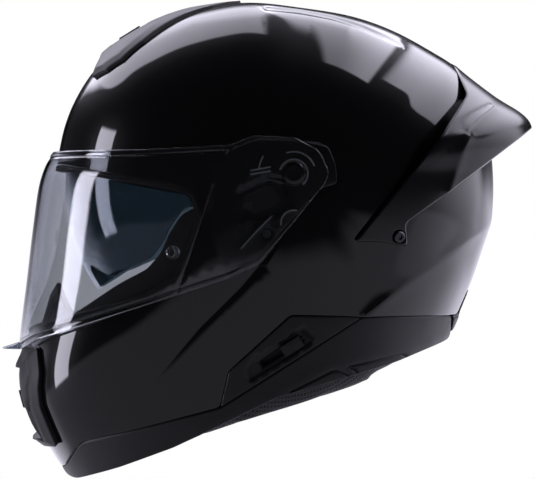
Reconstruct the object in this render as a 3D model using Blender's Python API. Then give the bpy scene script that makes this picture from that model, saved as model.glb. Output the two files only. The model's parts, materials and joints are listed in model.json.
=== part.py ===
"""A full-face motorcycle helmet with a lifting visor and a drop-down sun visor.

Everything is modelled in the helmet's own upright frame and hung on one empty:
x to the wearer's left, y to the rear, z up, with the visor's pivot axis as the x axis.
The empty tips the helmet back, so that it stands on its chin trim and neck roll.
Outlines are (y, z) points of the side view in millimetres.
"""

import math
from collections import namedtuple

import bmesh
import bpy
from mathutils import Matrix, Vector

MM = 0.001

# Driving dimensions, in millimetres and degrees.
HALF_WIDTH = 125.0        # half the shell's width at the visor pivots
CROWN_POWER = 2.4         # how square the shell is across the helmet
SIDE_POWER = 2.2          # how flat the shell's sides are
SHELL_WALL = 4.0
GAP = 0.4                 # space between neighbouring pieces
TILT = 18.0               # how far the helmet leans back when it stands on its base
PIVOT_HEIGHT = 144.7      # height of the visor axis above the surface it stands on
PIVOT_SETBACK = 30.3      # the visor axis from the middle of the helmet's length
REACH = 300.0             # longer than the helmet, for cutters

FINE_GRID = (40, 18)      # facets around the pivot axis, and from the left pivot to the right one
LINING_GRID = (24, 12)
SPOILER_GRID = (60, 18)

VISOR_WALL = 2.2
VISOR_CLEARANCE = 1.4
PIVOT_BOSS = 7.0          # radius of the boss that the visor turns on
PLATE_DEPTH = 2.3         # how deep the visor base plate is let into the shell

SUN_PIVOT = (-35.7, -7.3)  # the sun visor's axis
SUN_RADIUS = 114.0
SUN_HALF_WIDTH = 107.0
SUN_WALL = 2.0
SUN_PIN = 3.5

LINER_OUTSIDE = -5.6
LINER_INSIDE = -30.0
PAD_THICKNESS = 9.0
STRAP_GAP = 5.0           # space for the chin strap between the liner and a cheek pad
CHEEK_THICKNESS = 20.0
ROLL_INSIDE = -29.0

SLIDER_REST = (-1.0, -109.0)
SLIDER_SLOPE = 32.5       # degrees that the sun visor's slider rises towards the rear
SLIDER_TRAVEL = 18.0

STRAP_WIDTH = 22.0
STRAP_THICKNESS = 2.4
BUCKLE_Y = -64.0
BUCKLE_Z = -150.0

# Radius from the pivot axis at each direction: 0 is rearward, 90 is up, 180 is forward.
SHELL_KNOTS = (
    (5, 131.6), (16, 133), (25, 132.8), (33, 130), (42, 122.6), (53, 117.2), (66, 112.9),
    (77, 110.8), (87, 111), (97, 114.3), (106, 118.8), (116, 123.1), (134, 134.8),
    (147, 145), (158, 150.6), (168, 153.8), (174, 154.4), (181, 157), (190, 164),
    (202, 181), (212, 205.5), (219, 227), (225, 236), (231, 243), (250, 272),
    (270, 262), (290, 197), (306, 158), (320, 141.5), (330, 136.3), (339, 133.6), (348, 133.4),
)
VISOR_KNOTS = (
    (5, 138), (90, 122), (134, 142), (160, 155.5), (174, 157.6), (178, 164.2), (190, 172.8),
    (202, 188.6), (212, 212), (219, 232), (231, 247), (250, 276), (270, 266), (306, 163),
)
SPOILER_KNOTS = (
    (0, 150), (12, 162.3), (21, 144.5), (32, 131.8), (45, 127), (90, 116), (180, 165),
    (231, 250), (260, 275), (290, 203), (312, 160), (335, 147),
)

# Outlines of the side view.
EYEPORT = (
    (-REACH, 7), (-152, 3), (-73.5, -11), (-66, -15), (-61.5, -25), (-69, -54), (-77, -65.5),
    (-94, -76.5), (-113.5, -82.5), (-153, -94), (-REACH, -137),
)
CHIN_SEAM = ((-REACH, -192), (-149, -190), (-139, -174.5), (-134.5, -171.5), (-108.5, -165), (-46.5, -148))
PANEL_TOP = ((-41, -125), (-2, -89.5))
REAR_SEAM = ((43.5, -90.5), (108, -91), (116, -73), (REACH, -60))
BASE_EDGE = (
    (REACH, -92), (112, -94), (114, -99), (113, -106), (104, -106.5), (84, -113.5), (67, -120),
    (38, -128.5), (-11, -142), (-76, -174.5), (-112, -188.55), (-142, -198.3), (-155, -195),
    (-REACH, -195),
)
VISOR_OUTLINE = (
    (-REACH, 16.4), (-94, 15.5), (-40, 18), (-25, 24), (1, 22.5), (16, 14.5), (22.4, 0.7),
    (19.8, -6.6), (-4.6, -36), (-22, -58), (-43, -67), (-100, -85.5), (-143, -99.5),
    (-166, -106.5), (-179, -113.5), (-REACH, -120),
)
BASE_PLATE = (
    (-42, 12), (-24, 20), (2, 19.5), (21, 16.5), (25.7, 5), (26.3, -6), (18, -8), (6, -20),
    (-6, -33), (-23, -53), (-45, -59), (-51, -40), (-51, -8),
)
LEVER = ((-33, -22), (-31, -14), (-18, -7.5), (-13, -8.4), (-8, -16.8), (-24, -25))
LEVER_POCKET = ((-36, -27), (-35, -10), (-17, -2), (-6, -4), (-2, -18), (-8, -26), (-24, -30))
LEVER_PIVOT = (-28.4, -20.1)
SLIDER_RECESS = ((-30, -121), (-28.5, -132.5), (14, -106), (4, -97.5), (-4, -103))
SUN_OUTLINE = (
    (-175, 24), (-80, 8), (-40, 3), (-28, 0), (-25, -7), (-28, -14), (-45, -17), (-70, -22),
    (-79.5, -35), (-82, -42), (-91, -54), (-112, -63.5), (-129, -75), (-175, -104),
)
SUN_SWEEP = ((-18, -22), (-70, -34), (-190, -34), (-190, 140), (-84, 140), (-60, 60), (-18, 8))
LINER_OUTLINE = (
    (-REACH, 18), (-152, 12), (-80, -2), (-55, -12), (-52, -30), (-59, -58), (-67, -76),
    (-60, -110), (-46, -143), (-11, -128), (38, -113), (84, -99.5), (108, -93), (REACH, -90),
    (REACH, REACH), (-REACH, REACH),
)
STRAP_GROOVE = (
    (-34, -66), (-30, -50), (2, -50), (2, -66), (-8, -100), (-20, -140), (-20, -165), (-75, -165),
    (-62, -135), (-46, -100),
)
CHIN_LINER = (
    (-REACH, -140), (-113, -93), (-93, -87), (-77, -79), (-68.5, -80), (-61.5, -112), (-48.5, -144),
    (-52, -147), (-108, -162), (-134, -168.5), (-138, -171.5), (-148, -187), (-REACH, -189),
)
CROWN_PAD = (
    (-REACH, 26), (-60, 14), (-18, -6), (12, -40), (50, -66), (REACH, -80), (REACH, REACH),
    (-REACH, REACH),
)
CHEEK_PAD = (
    (-50, -24), (-47, -32), (-53, -58), (-62, -78), (-57, -110), (-46, -136), (-11, -124),
    (26, -114.5), (32, -70), (8, -44), (-20, -26),
)
NECK_ROLL = (
    (-72, -172.5), (-54, -168.3), (-20, -155), (38, -139.2), (56, -130.5), (84, -113.5),
    (98, -103), (98, -97.5), (84, -101.5), (38, -115), (-11, -130), (-46, -149), (-70, -158.5),
)
VENT_OUTLINE = (
    (-REACH, -115.2), (-170, -114.6), (-167.5, -131), (-168.6, -141), (-167.5, -153.5),
    (-162.5, -166), (-156.5, -180), (-REACH, -190),
)
VENT_WINDOW = ((-REACH, -123), (-160, -126), (-160, -158), (-150, -172), (-REACH, -178))
VENT_SLIDER = ((-REACH, -141), (-150, -141), (-150, -152), (-REACH, -152))
SPOILER_OUTLINE = (
    (39, -43), (79, 5.3), (94, 24), (113, 52), (105, 78), (190, 78), (190, 32), (158.6, 32),
    (130, 11), (111.5, -2.6), (71.3, -31.8), (72.8, -46), (54, -43),
)
SPOILER_SCREW = (67.2, -40.1)
# Half outlines of the top vent seen from above, as (x, y).
TOP_VENT = ((20, -124), (43, -128), (55, -119), (61, -108), (56, -95), (47, -84), (38, -72), (24, -52),
            (8, -34))
TOP_SLIDER = ((9, -114), (9, -101))
TOP_SLOT = ((9.6, -115), (9.6, -92))

Surface = namedtuple("Surface", "radius half_width centre")


def radius_curve(knots):
    """A smooth closed curve of radius over direction, through (degrees, radius) knots."""
    count = len(knots)

    def knot(index):
        angle, radius = knots[index % count]
        return angle + 360.0 * (index // count), radius

    def slope(index):
        before, after = knot(index - 1), knot(index + 1)
        return (after[1] - before[1]) / (after[0] - before[0])

    def radius(degrees):
        degrees = (degrees - knots[0][0]) % 360.0 + knots[0][0]
        index = max(i for i in range(count) if knots[i][0] <= degrees)
        (start, low), (stop, high) = knot(index), knot(index + 1)
        span = stop - start
        t = (degrees - start) / span
        rise = slope(index) * span
        fall = slope(index + 1) * span
        curve = (2 * low - 2 * high + rise + fall) * t ** 3
        curve += (3 * high - 3 * low - 2 * rise - fall) * t ** 2
        return curve + rise * t + low

    return radius


SHELL = Surface(radius_curve(SHELL_KNOTS), HALF_WIDTH, (0.0, 0.0))
VISOR = Surface(radius_curve(VISOR_KNOTS), HALF_WIDTH + VISOR_CLEARANCE + VISOR_WALL, (0.0, 0.0))
SPOILER = Surface(radius_curve(SPOILER_KNOTS), HALF_WIDTH + 4.0, (0.0, 0.0))
SUN = Surface(lambda degrees: SUN_RADIUS, SUN_HALF_WIDTH, SUN_PIVOT)


def side_x(surface, offset, y, z):
    """How far out the surface lies at a point of the side view, in millimetres."""
    y -= surface.centre[0]
    z -= surface.centre[1]
    direction = math.degrees(math.atan2(z, y))
    share = math.hypot(y, z) / (surface.radius(direction) + offset)
    return (surface.half_width + offset) * max(0.0, 1.0 - share ** CROWN_POWER) ** (1.0 / SIDE_POWER)


def surface_frame(surface, offset, y, z, side=1):
    """The point on the surface and its outward normal, on the left (1) or right (-1)."""
    step = 0.5
    x = side_x(surface, offset, y, z)
    slope_y = (side_x(surface, offset, y + step, z) - side_x(surface, offset, y - step, z)) / (2 * step)
    slope_z = (side_x(surface, offset, y, z + step) - side_x(surface, offset, y, z - step)) / (2 * step)
    normal = Vector((side, -slope_y, -slope_z)).normalized()
    return Vector((side * x, y, z)), normal


def new_object(name, points, faces):
    """A mesh object from points in millimetres."""
    mesh = bpy.data.meshes.new(name)
    mesh.from_pydata([tuple(c * MM for c in point) for point in points], [], faces)
    obj = bpy.data.objects.new(name, mesh)
    bpy.context.scene.collection.objects.link(obj)
    return obj


def face_out(obj):
    """Turns all faces so that the solid's volume is positive."""
    shape = bmesh.new()
    shape.from_mesh(obj.data)
    bmesh.ops.recalc_face_normals(shape, faces=shape.faces)
    if shape.calc_volume(signed=True) < 0:
        bmesh.ops.reverse_faces(shape, faces=shape.faces)
    shape.to_mesh(obj.data)
    shape.free()
    return obj


def skin(surface, offset, first, inward, grid):
    """Points and faces of one closed surface; vertex numbers start at first."""
    columns, rows = grid
    reach = surface.half_width + offset
    points = [(reach, surface.centre[0], surface.centre[1])]
    for row in range(1, rows):
        lean = math.pi * row / rows
        x = math.copysign(reach * abs(math.cos(lean)) ** (2.0 / SIDE_POWER), math.cos(lean))
        share = math.sin(lean) ** (2.0 / CROWN_POWER)
        for column in range(columns):
            degrees = 360.0 * column / columns
            radius = (surface.radius(degrees) + offset) * share
            turn = math.radians(degrees)
            y = surface.centre[0] + radius * math.cos(turn)
            z = surface.centre[1] + radius * math.sin(turn)
            points.append((x, y, z))
    points.append((-reach, surface.centre[0], surface.centre[1]))

    last = first + len(points) - 1
    faces = []
    for column in range(columns):
        following = (column + 1) % columns
        faces.append((first, first + 1 + column, first + 1 + following))
        for row in range(rows - 2):
            here = first + 1 + row * columns
            below = here + columns
            faces.append((here + column, below + column, below + following, here + following))
        ring = first + 1 + (rows - 2) * columns
        faces.append((ring + column, last, ring + following))
    if inward:
        faces = [tuple(reversed(face)) for face in faces]
    return points, faces


def layer(name, outer_surface, outer, inner, inner_surface=None, grid=FINE_GRID):
    """A closed hollow body between two offsets of a surface, in millimetres."""
    outer_points, outer_faces = skin(outer_surface, outer, 0, False, grid)
    below = inner_surface or outer_surface
    inner_points, inner_faces = skin(below, inner, len(outer_points), True, grid)
    return new_object(name, outer_points + inner_points, outer_faces + inner_faces)


def prism(outline, x_from=-REACH, x_to=REACH):
    """The side-view outline extruded across the helmet."""
    count = len(outline)
    points = [(x, y, z) for x in (x_from, x_to) for y, z in outline]
    faces = [tuple(range(count)), tuple(range(2 * count - 1, count - 1, -1))]
    for index in range(count):
        following = (index + 1) % count
        faces.append((index, following, following + count, index + count))
    return face_out(new_object("prism", points, faces))


def plan_prism(half_outline, z_from, z_to):
    """A symmetric plan outline, given as its left half in (x, y), extruded upwards."""
    outline = list(half_outline) + [(-x, y) for x, y in reversed(half_outline)]
    count = len(outline)
    points = [(x, y, z) for z in (z_from, z_to) for x, y in outline]
    faces = [tuple(range(count)), tuple(range(2 * count - 1, count - 1, -1))]
    for index in range(count):
        following = (index + 1) % count
        faces.append((index, following, following + count, index + count))
    return face_out(new_object("prism", points, faces))


def grow(outline, distance):
    """The outline with each edge moved outwards by distance, or inwards if it is negative."""
    count = len(outline)
    area = sum(outline[i - 1][0] * outline[i][1] - outline[i][0] * outline[i - 1][1] for i in range(count))
    turn = 1.0 if area > 0 else -1.0
    moved = []
    for index in range(count):
        corner = Vector(outline[index])
        before = (corner - Vector(outline[index - 1])).normalized()
        after = (Vector(outline[(index + 1) % count]) - corner).normalized()
        out_before = Vector((before.y, -before.x)) * turn
        out_after = Vector((after.y, -after.x)) * turn
        middle = (out_before + out_after).normalized()
        reach = distance / max(0.35, middle.dot(out_before))
        moved.append(tuple(corner + middle * reach))
    return moved


def combine(target, tool, operation):
    """Applies an exact Boolean and removes the tool."""
    modifier = target.modifiers.new("combine", "BOOLEAN")
    modifier.operation = operation
    modifier.object = tool
    graph = bpy.context.evaluated_depsgraph_get()
    mesh = bpy.data.meshes.new_from_object(target.evaluated_get(graph))
    target.modifiers.clear()
    target.data = mesh
    bpy.data.objects.remove(tool)
    return target


def keep(target, tool):
    return combine(target, tool, "INTERSECT")


def cut(target, tool):
    return combine(target, tool, "DIFFERENCE")


def fuse(target, tool):
    return combine(target, tool, "UNION")


def band(name, surface, outer, inner, outline, x_from=-REACH, x_to=REACH, grid=FINE_GRID):
    """The part of a layer that lies within a side-view outline."""
    return keep(layer(name, surface, outer, inner, None, grid), prism(outline, x_from, x_to))


def half(side):
    """The x range of the left (1) or right (-1) half."""
    return (0.0, REACH) if side > 0 else (-REACH, 0.0)


def lathe(name, profile, centre, axis, segments=20):
    """A turned solid: profile is (distance along the axis, radius) from the bottom to the top."""
    turn = Vector((0, 0, 1)).rotation_difference(Vector(axis)).to_matrix()
    centre = Vector(centre)
    points = []
    for height, radius in profile:
        for index in range(segments):
            angle = 2 * math.pi * index / segments
            spoke = Vector((radius * math.cos(angle), radius * math.sin(angle), height))
            points.append(tuple(centre + turn @ spoke))
    rings = len(profile)
    faces = [tuple(range(segments)), tuple(range((rings - 1) * segments, rings * segments))]
    for ring in range(rings - 1):
        for index in range(segments):
            following = (index + 1) % segments
            low = ring * segments
            high = low + segments
            faces.append((low + index, low + following, high + following, high + index))
    return face_out(new_object(name, points, faces))


def box(name, centre, size):
    """A rectangular block."""
    points = []
    for x in (-0.5, 0.5):
        for y in (-0.5, 0.5):
            for z in (-0.5, 0.5):
                points.append((centre[0] + x * size[0], centre[1] + y * size[1], centre[2] + z * size[2]))
    faces = [(0, 1, 3, 2), (4, 6, 7, 5), (0, 4, 5, 1), (2, 3, 7, 6), (0, 2, 6, 4), (1, 5, 7, 3)]
    return face_out(new_object(name, points, faces))


def ribbon(name, path, width, thickness):
    """Webbing that follows a path of (point, outward direction) pairs."""
    points = []
    route = [Vector(point) for point, _ in path]
    for index, place in enumerate(route):
        ahead = route[min(index + 1, len(route) - 1)] - route[max(index - 1, 0)]
        across = Vector(path[index][1]).cross(ahead).normalized()
        up = ahead.cross(across).normalized()
        for side, height in ((-1, -1), (1, -1), (1, 1), (-1, 1)):
            points.append(tuple(place + across * side * width / 2 + up * height * thickness / 2))
    faces = [(0, 1, 2, 3)]
    end = 4 * (len(route) - 1)
    faces.append((end, end + 1, end + 2, end + 3))
    for index in range(len(route) - 1):
        for corner in range(4):
            following = (corner + 1) % 4
            low = 4 * index
            faces.append((low + corner, low + following, low + 4 + following, low + 4 + corner))
    return face_out(new_object(name, points, faces))


def along_slot(distance, aside=0.0):
    """A side-view point at a distance along the slider's line from its rest place."""
    slope = math.radians(SLIDER_SLOPE)
    y = SLIDER_REST[0] + distance * math.cos(slope) - aside * math.sin(slope)
    z = SLIDER_REST[1] + distance * math.sin(slope) + aside * math.cos(slope)
    return y, z


def slot_outline(start, stop, width):
    """A rectangle along the slider's line."""
    return [along_slot(start, -width / 2), along_slot(stop, -width / 2), along_slot(stop, width / 2),
            along_slot(start, width / 2)]


# ---------------------------------------------------------------- shell and its trims

def make_outer_shell():
    region = list(CHIN_SEAM) + list(PANEL_TOP) + list(REAR_SEAM) + [(REACH, REACH), (-REACH, REACH)]
    shell = band("outer_shell", SHELL, 0.0, -SHELL_WALL, grow(region, -GAP / 2))
    cut(shell, prism(grow(EYEPORT, 3.6)))
    cut(shell, band("recess", SHELL, 6.0, -PLATE_DEPTH, grow(BASE_PLATE, 0.5)))
    return shell


def make_lower_trim():
    region = list(CHIN_SEAM) + [REAR_SEAM[0], (104, -91), (104, -106.5)] + list(BASE_EDGE[5:])
    trim = band("lower_trim", SHELL, 0.6, -SHELL_WALL - 0.2, grow(region, -GAP / 2))
    foot = ((-147, -193), (-142, -198.5), (-120, -191.35), (-120, -187), (-142, -193.5))
    fuse(trim, band("foot", SHELL, -1.0, -60.0, grow(foot, -GAP / 2), -32.0, 32.0))
    return trim


def make_rear_extractor():
    region = [(104, -91), REAR_SEAM[1], REAR_SEAM[2], REAR_SEAM[3]] + list(BASE_EDGE[:5])
    return band("rear_extractor", SHELL, 1.4, -SHELL_WALL, grow(region, -GAP / 2))


def make_side_panel(side):
    word = "left" if side > 0 else "right"
    region = [CHIN_SEAM[-1]] + list(PANEL_TOP) + [REAR_SEAM[0]]
    panel = band("side_panel_" + word, SHELL, 0.5, -SHELL_WALL, grow(region, -GAP / 2), *half(side))
    cut(panel, band("recess", SHELL, 6.0, -1.7, grow(SLIDER_RECESS, -1.0), *half(side)))
    if side > 0:
        cut(panel, prism(slot_outline(-SLIDER_TRAVEL - 4.6, 4.6, 4.0), *half(side)))
    return panel


def make_eyeport_gasket():
    gasket = band("eyeport_gasket", SHELL, 0.6, -5.4, grow(EYEPORT, 3.2))
    return cut(gasket, prism(EYEPORT))


def make_sun_visor_slider():
    knob = band("sun_visor_slider", SHELL, 2.4, -0.5, slot_outline(-7.0, 7.0, 7.0), *half(1))
    return fuse(knob, band("stem", SHELL, 0.0, -3.6, slot_outline(-4.0, 4.0, 3.2), *half(1)))


# ---------------------------------------------------------------- linings

def make_impact_liner():
    liner = band("impact_liner", SHELL, LINER_OUTSIDE, LINER_INSIDE, LINER_OUTLINE, grid=LINING_GRID)
    cut(liner, band("sweep", SUN, 60.0, -SUN_WALL - 1.4, SUN_SWEEP, grid=LINING_GRID))
    return cut(liner, band("groove", SHELL, LINER_INSIDE + 2.5, LINER_INSIDE - 20.0, STRAP_GROOVE))


def make_chin_bar_liner():
    return band("chin_bar_liner", SHELL, LINER_OUTSIDE - 1.2, -22.0, CHIN_LINER, grid=LINING_GRID)


def make_crown_pad():
    outer = LINER_INSIDE - 0.5
    return band("crown_pad", SHELL, outer, outer - PAD_THICKNESS, CROWN_PAD, grid=LINING_GRID)


def make_cheek_pad(side):
    word = "left" if side > 0 else "right"
    outer = LINER_INSIDE - STRAP_GAP
    inner = outer - CHEEK_THICKNESS
    return band("cheek_pad_" + word, SHELL, outer, inner, CHEEK_PAD, *half(side), LINING_GRID)


def make_neck_roll():
    return band("neck_roll", SHELL, -6.5, ROLL_INSIDE, NECK_ROLL, grid=LINING_GRID)


def make_breath_guard():
    """A rubber wall behind the visor, highest at the nose."""
    profile = ((-166.0, 0.0), (-165.2, 0.2), (-160.0, 0.76), (-155.5, 1.0))
    base_z, peak, half_span, wall = -102.4, 32.4, 42.0, 2.0
    columns = 12
    points = []
    for column in range(columns + 1):
        x = half_span * (2.0 * column / columns - 1.0)
        height = 8.0 + (peak - 8.0) * math.cos(math.pi * x / (2 * half_span)) ** 1.5
        for depth in (0.0, wall):
            for y, rise in profile:
                points.append((x, y + depth + 0.0066 * x * x, base_z + rise * height))
    ring = 2 * len(profile)
    loop = [0, 1, 2, 3, 7, 6, 5, 4]
    faces = [tuple(loop), tuple(ring * columns + number for number in loop)]
    for column in range(columns):
        for index in range(ring):
            here, following = loop[index], loop[(index + 1) % ring]
            low, high = ring * column, ring * (column + 1)
            faces.append((low + here, low + following, high + following, high + here))
    return face_out(new_object("breath_guard", points, faces))


# ---------------------------------------------------------------- visor and its mechanism

def make_visor():
    visor = band("visor", VISOR, 0.0, -VISOR_WALL, VISOR_OUTLINE)
    tab = ((-177.3, -107.5), (-181, -109), (-191.3, -112.2), (-191.3, -113.4), (-177.3, -113.2))
    fuse(visor, prism(tab, -17.0, 17.0))
    for side in (1, -1):
        reach = (side * 110.0, 0.0, 0.0)
        cut(visor, lathe("hole", ((0, PIVOT_BOSS + GAP), (40, PIVOT_BOSS + GAP)), reach, (side, 0, 0)))
        point, normal = surface_frame(VISOR, 0.0, *PIN_PLACE, side)
        cut(visor, lathe("hole", ((-8, 3.0), (8, 3.0)), point, normal, 16))
    return visor


PIN_PLACE = (-77.3, -49.6)


def make_insert_pin(side):
    """The eccentric pin that holds an anti-fog insert: a shank with a flange inside the visor."""
    word = "left" if side > 0 else "right"
    point, normal = surface_frame(VISOR, 0.0, *PIN_PLACE, side)
    flange = -VISOR_WALL - 2 * GAP
    profile = ((flange - 1.4, 4.6), (flange, 4.6), (flange + 0.001, 2.6), (0.4, 2.6))
    return lathe("insert_pin_" + word, profile, point, normal, 16)


def make_base_plate(side):
    word = "left" if side > 0 else "right"
    plate = band("visor_base_plate_" + word, SHELL, 0.6, GAP - PLATE_DEPTH, BASE_PLATE, *half(side))
    cut(plate, band("pocket", SHELL, 6.0, -0.9, LEVER_POCKET, *half(side)))
    top = HALF_WIDTH + VISOR_CLEARANCE + VISOR_WALL
    boss = ((HALF_WIDTH - 1.5, PIVOT_BOSS), (top - 0.5, PIVOT_BOSS), (top, PIVOT_BOSS - 0.7))
    fuse(plate, lathe("boss", boss, (0, 0, 0), (side, 0, 0), 24))
    for place in (LEVER_PIVOT, PLATE_SCREW):
        point, normal = surface_frame(SHELL, 0.0, *place, side)
        cut(plate, lathe("hole", ((-6, 2.0), (6, 2.0)), point, normal, 12))
        cut(plate, lathe("seat", ((-0.8, 3.4), (6, 3.4)), point, normal, 16))
    return plate


PLATE_SCREW = (-17.0, -38.0)


def make_release_lever(side):
    word = "left" if side > 0 else "right"
    lever = band("visor_release_lever_" + word, SHELL, 0.7, -0.5, LEVER, *half(side))
    point, normal = surface_frame(SHELL, 0.0, *LEVER_PIVOT, side)
    return cut(lever, lathe("hole", ((-6, 3.4), (6, 3.4)), point, normal, 16))


def make_plate_screw(side, place, label):
    """A small screw sunk in the base plate; the front one is also the release lever's pivot."""
    word = "left" if side > 0 else "right"
    point, normal = surface_frame(SHELL, 0.0, *place, side)
    profile = ((-1.8, 1.6), (-0.45, 1.6), (-0.449, 3.0), (0.4, 3.0))
    return lathe("base_plate_screw_" + label + "_" + word, profile, point, normal, 16)


# ---------------------------------------------------------------- sun visor

def make_sun_visor():
    lens = band("sun_visor", SUN, 0.0, -SUN_WALL, SUN_OUTLINE)
    for side in (1, -1):
        start = (side * 90.0, *SUN_PIVOT)
        cut(lens, lathe("hole", ((0, SUN_PIN + GAP), (40, SUN_PIN + GAP)), start, (side, 0, 0)))
    return lens


def make_sun_visor_pivot(side):
    word = "left" if side > 0 else "right"
    inner = SUN_HALF_WIDTH - SUN_WALL - 1.1
    outer = side_x(SHELL, -SHELL_WALL, *SUN_PIVOT) - 1.6
    profile = ((inner, SUN_PIN), (SUN_HALF_WIDTH + 1.0, SUN_PIN), (SUN_HALF_WIDTH + 1.01, 6.0), (outer, 6.0))
    return lathe("sun_visor_pivot_" + word, profile, (0, *SUN_PIVOT), (side, 0, 0))


# ---------------------------------------------------------------- vents and spoiler

def make_top_vent_cover():
    cover = keep(layer("top_vent_cover", SHELL, 4.8, 0.4), plan_prism(TOP_VENT, 30.0, REACH))
    return cut(cover, plan_prism(TOP_SLOT, 30.0, REACH))


def make_top_vent_slider():
    return keep(layer("top_vent_slider", SHELL, 6.2, 1.0), plan_prism(TOP_SLIDER, 30.0, REACH))


def make_chin_vent_housing():
    housing = band("chin_vent_housing", SHELL, 8.6, 0.4, VENT_OUTLINE)
    return cut(housing, prism(VENT_WINDOW, -36.0, 36.0))


def make_chin_vent_mesh():
    return band("chin_vent_mesh", SHELL, 2.4, 0.8, grow(VENT_WINDOW, -0.5), -35.4, 35.4)


def make_chin_vent_slider():
    return band("chin_vent_slider", SHELL, 8.0, 3.6, VENT_SLIDER, -11.0, 11.0)


def make_rear_spoiler():
    spoiler = layer("rear_spoiler", SPOILER, 0.0, 0.4, SHELL, SPOILER_GRID)
    keep(spoiler, prism(SPOILER_OUTLINE))
    for side in (1, -1):
        point, normal = surface_frame(SPOILER, 0.0, *SPOILER_SCREW, side)
        cut(spoiler, lathe("hole", ((-2.6, 4.0), (12, 4.0)), point, normal, 16))
        cut(spoiler, lathe("hole", ((-30, 2.2), (12, 2.2)), point, normal, 16))
    return spoiler


def make_spoiler_screw(side):
    word = "left" if side > 0 else "right"
    point, normal = surface_frame(SPOILER, 0.0, *SPOILER_SCREW, side)
    profile = ((-5.4, 1.8), (-2.2, 1.8), (-2.199, 3.6), (-0.5, 3.6), (0.1, 2.8))
    return lathe("spoiler_screw_" + word, profile, point, normal, 16)


# ---------------------------------------------------------------- chin strap

def make_chin_strap(side):
    """Webbing from its anchor, down inside the cheek pad and under the chin."""
    word = "left" if side > 0 else "right"
    path = [surface_frame(SHELL, LINER_INSIDE - 3.4, y, z, side)
            for y, z in ((-16, -78), (-25, -100), (-33, -119), (-38, -132))]
    path.append(((side * 75.0, -46.0, -145.5), (side * 0.9, 0.0, -0.5)))
    path.append(((side * 66.0, -54.0, -151.5), (side * 0.3, 0.0, -1.0)))
    end = 49.5 if side > 0 else 25.5
    path.append(((side * (end + 9.0), -61.0, BUCKLE_Z - 1.0), (0.0, 0.0, -1.0)))
    path.append(((side * end, BUCKLE_Y + 1, BUCKLE_Z + (0.0 if side > 0 else 1.6)), (0.0, 0.0, -1.0)))
    return ribbon("chin_strap_" + word, path, STRAP_WIDTH, STRAP_THICKNESS)


def make_strap_anchor(side):
    """A riveted plate on the liner, at the strap's upper end."""
    word = "left" if side > 0 else "right"
    outline = ((-26, -69.5), (-20, -54), (-4, -54), (0, -65), (-2, -69.5))
    return band("strap_anchor_" + word, SHELL, LINER_INSIDE - 2.0, LINER_INSIDE - 4.4, outline, *half(side))


def make_buckle_body():
    """A channel with a cross bar at its left end for the strap and a hinge pin for the lever."""
    body = box("buckle_body", (27, BUCKLE_Y, BUCKLE_Z - 1.0), (38, 24, 2))
    for edge in (-1, 1):
        fuse(body, box("cheek", (27, BUCKLE_Y + edge * 11, BUCKLE_Z + 3.5), (38, 2, 9.0)))
    return body


def make_buckle_tongue():
    """A toothed strip: it lies in the channel, and the right strap ends at it."""
    tongue = box("buckle_tongue", (1, BUCKLE_Y, BUCKLE_Z + 1.6), (46, 12, 2))
    for tooth in range(6):
        cut(tongue, box("notch", (2.0 + 3.2 * tooth, BUCKLE_Y, BUCKLE_Z + 2.4), (1.4, 20, 1.0)))
    return tongue


BUCKLE_HINGE = (38.0, BUCKLE_Z + 5.6)


def make_buckle_lever():
    lever = box("buckle_lever", (25, BUCKLE_Y, BUCKLE_Z + 6.4), (30, 19, 2.0))
    pin = lathe("pin", ((-9.5, 2.0), (9.5, 2.0)), (BUCKLE_HINGE[0], BUCKLE_Y, BUCKLE_HINGE[1]), (0, 1, 0), 16)
    fuse(lever, pin)
    return fuse(lever, box("pull", (10.5, BUCKLE_Y, BUCKLE_Z + 7.4), (3.0, 19, 4.0)))


# ---------------------------------------------------------------- materials and assembly

MATERIALS = {
    "gloss_black": ((0.008, 0.008, 0.009), 0.06, 0.0),
    "matte_black": ((0.022, 0.022, 0.024), 0.55, 0.0),
    "rubber": ((0.015, 0.015, 0.015), 0.75, 0.0),
    "clear_plastic": ((0.72, 0.80, 0.86), 0.04, 0.0),
    "smoke_plastic": ((0.03, 0.09, 0.10), 0.08, 0.0),
    "foam": ((0.09, 0.09, 0.095), 0.9, 0.0),
    "fabric": ((0.03, 0.03, 0.034), 0.95, 0.0),
    "webbing": ((0.02, 0.02, 0.022), 0.85, 0.0),
    "steel": ((0.45, 0.45, 0.47), 0.3, 1.0),
}


def material(node, finish):
    """The node's own material."""
    colour, roughness, metallic = MATERIALS[finish]
    new = bpy.data.materials.new(node)
    new.use_nodes = True
    shader = new.node_tree.nodes["Principled BSDF"]
    shader.inputs["Base Color"].default_value = (*colour, 1.0)
    shader.inputs["Roughness"].default_value = roughness
    shader.inputs["Metallic"].default_value = metallic
    new.diffuse_color = (*colour, 1.0)
    return new


def add(frame, obj, finish, origin=(0.0, 0.0, 0.0)):
    """Finishes a piece: its origin on its joint, its material, its shading and its parent."""
    place = Vector(origin) * MM
    obj.data.transform(Matrix.Translation(-place))
    obj.data.name = obj.name
    obj.data.materials.clear()
    obj.data.materials.append(material(obj.name, finish))
    obj.data.shade_smooth()
    obj.data.set_sharp_from_angle(angle=math.radians(30))
    obj.parent = frame
    obj.location = place


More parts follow.
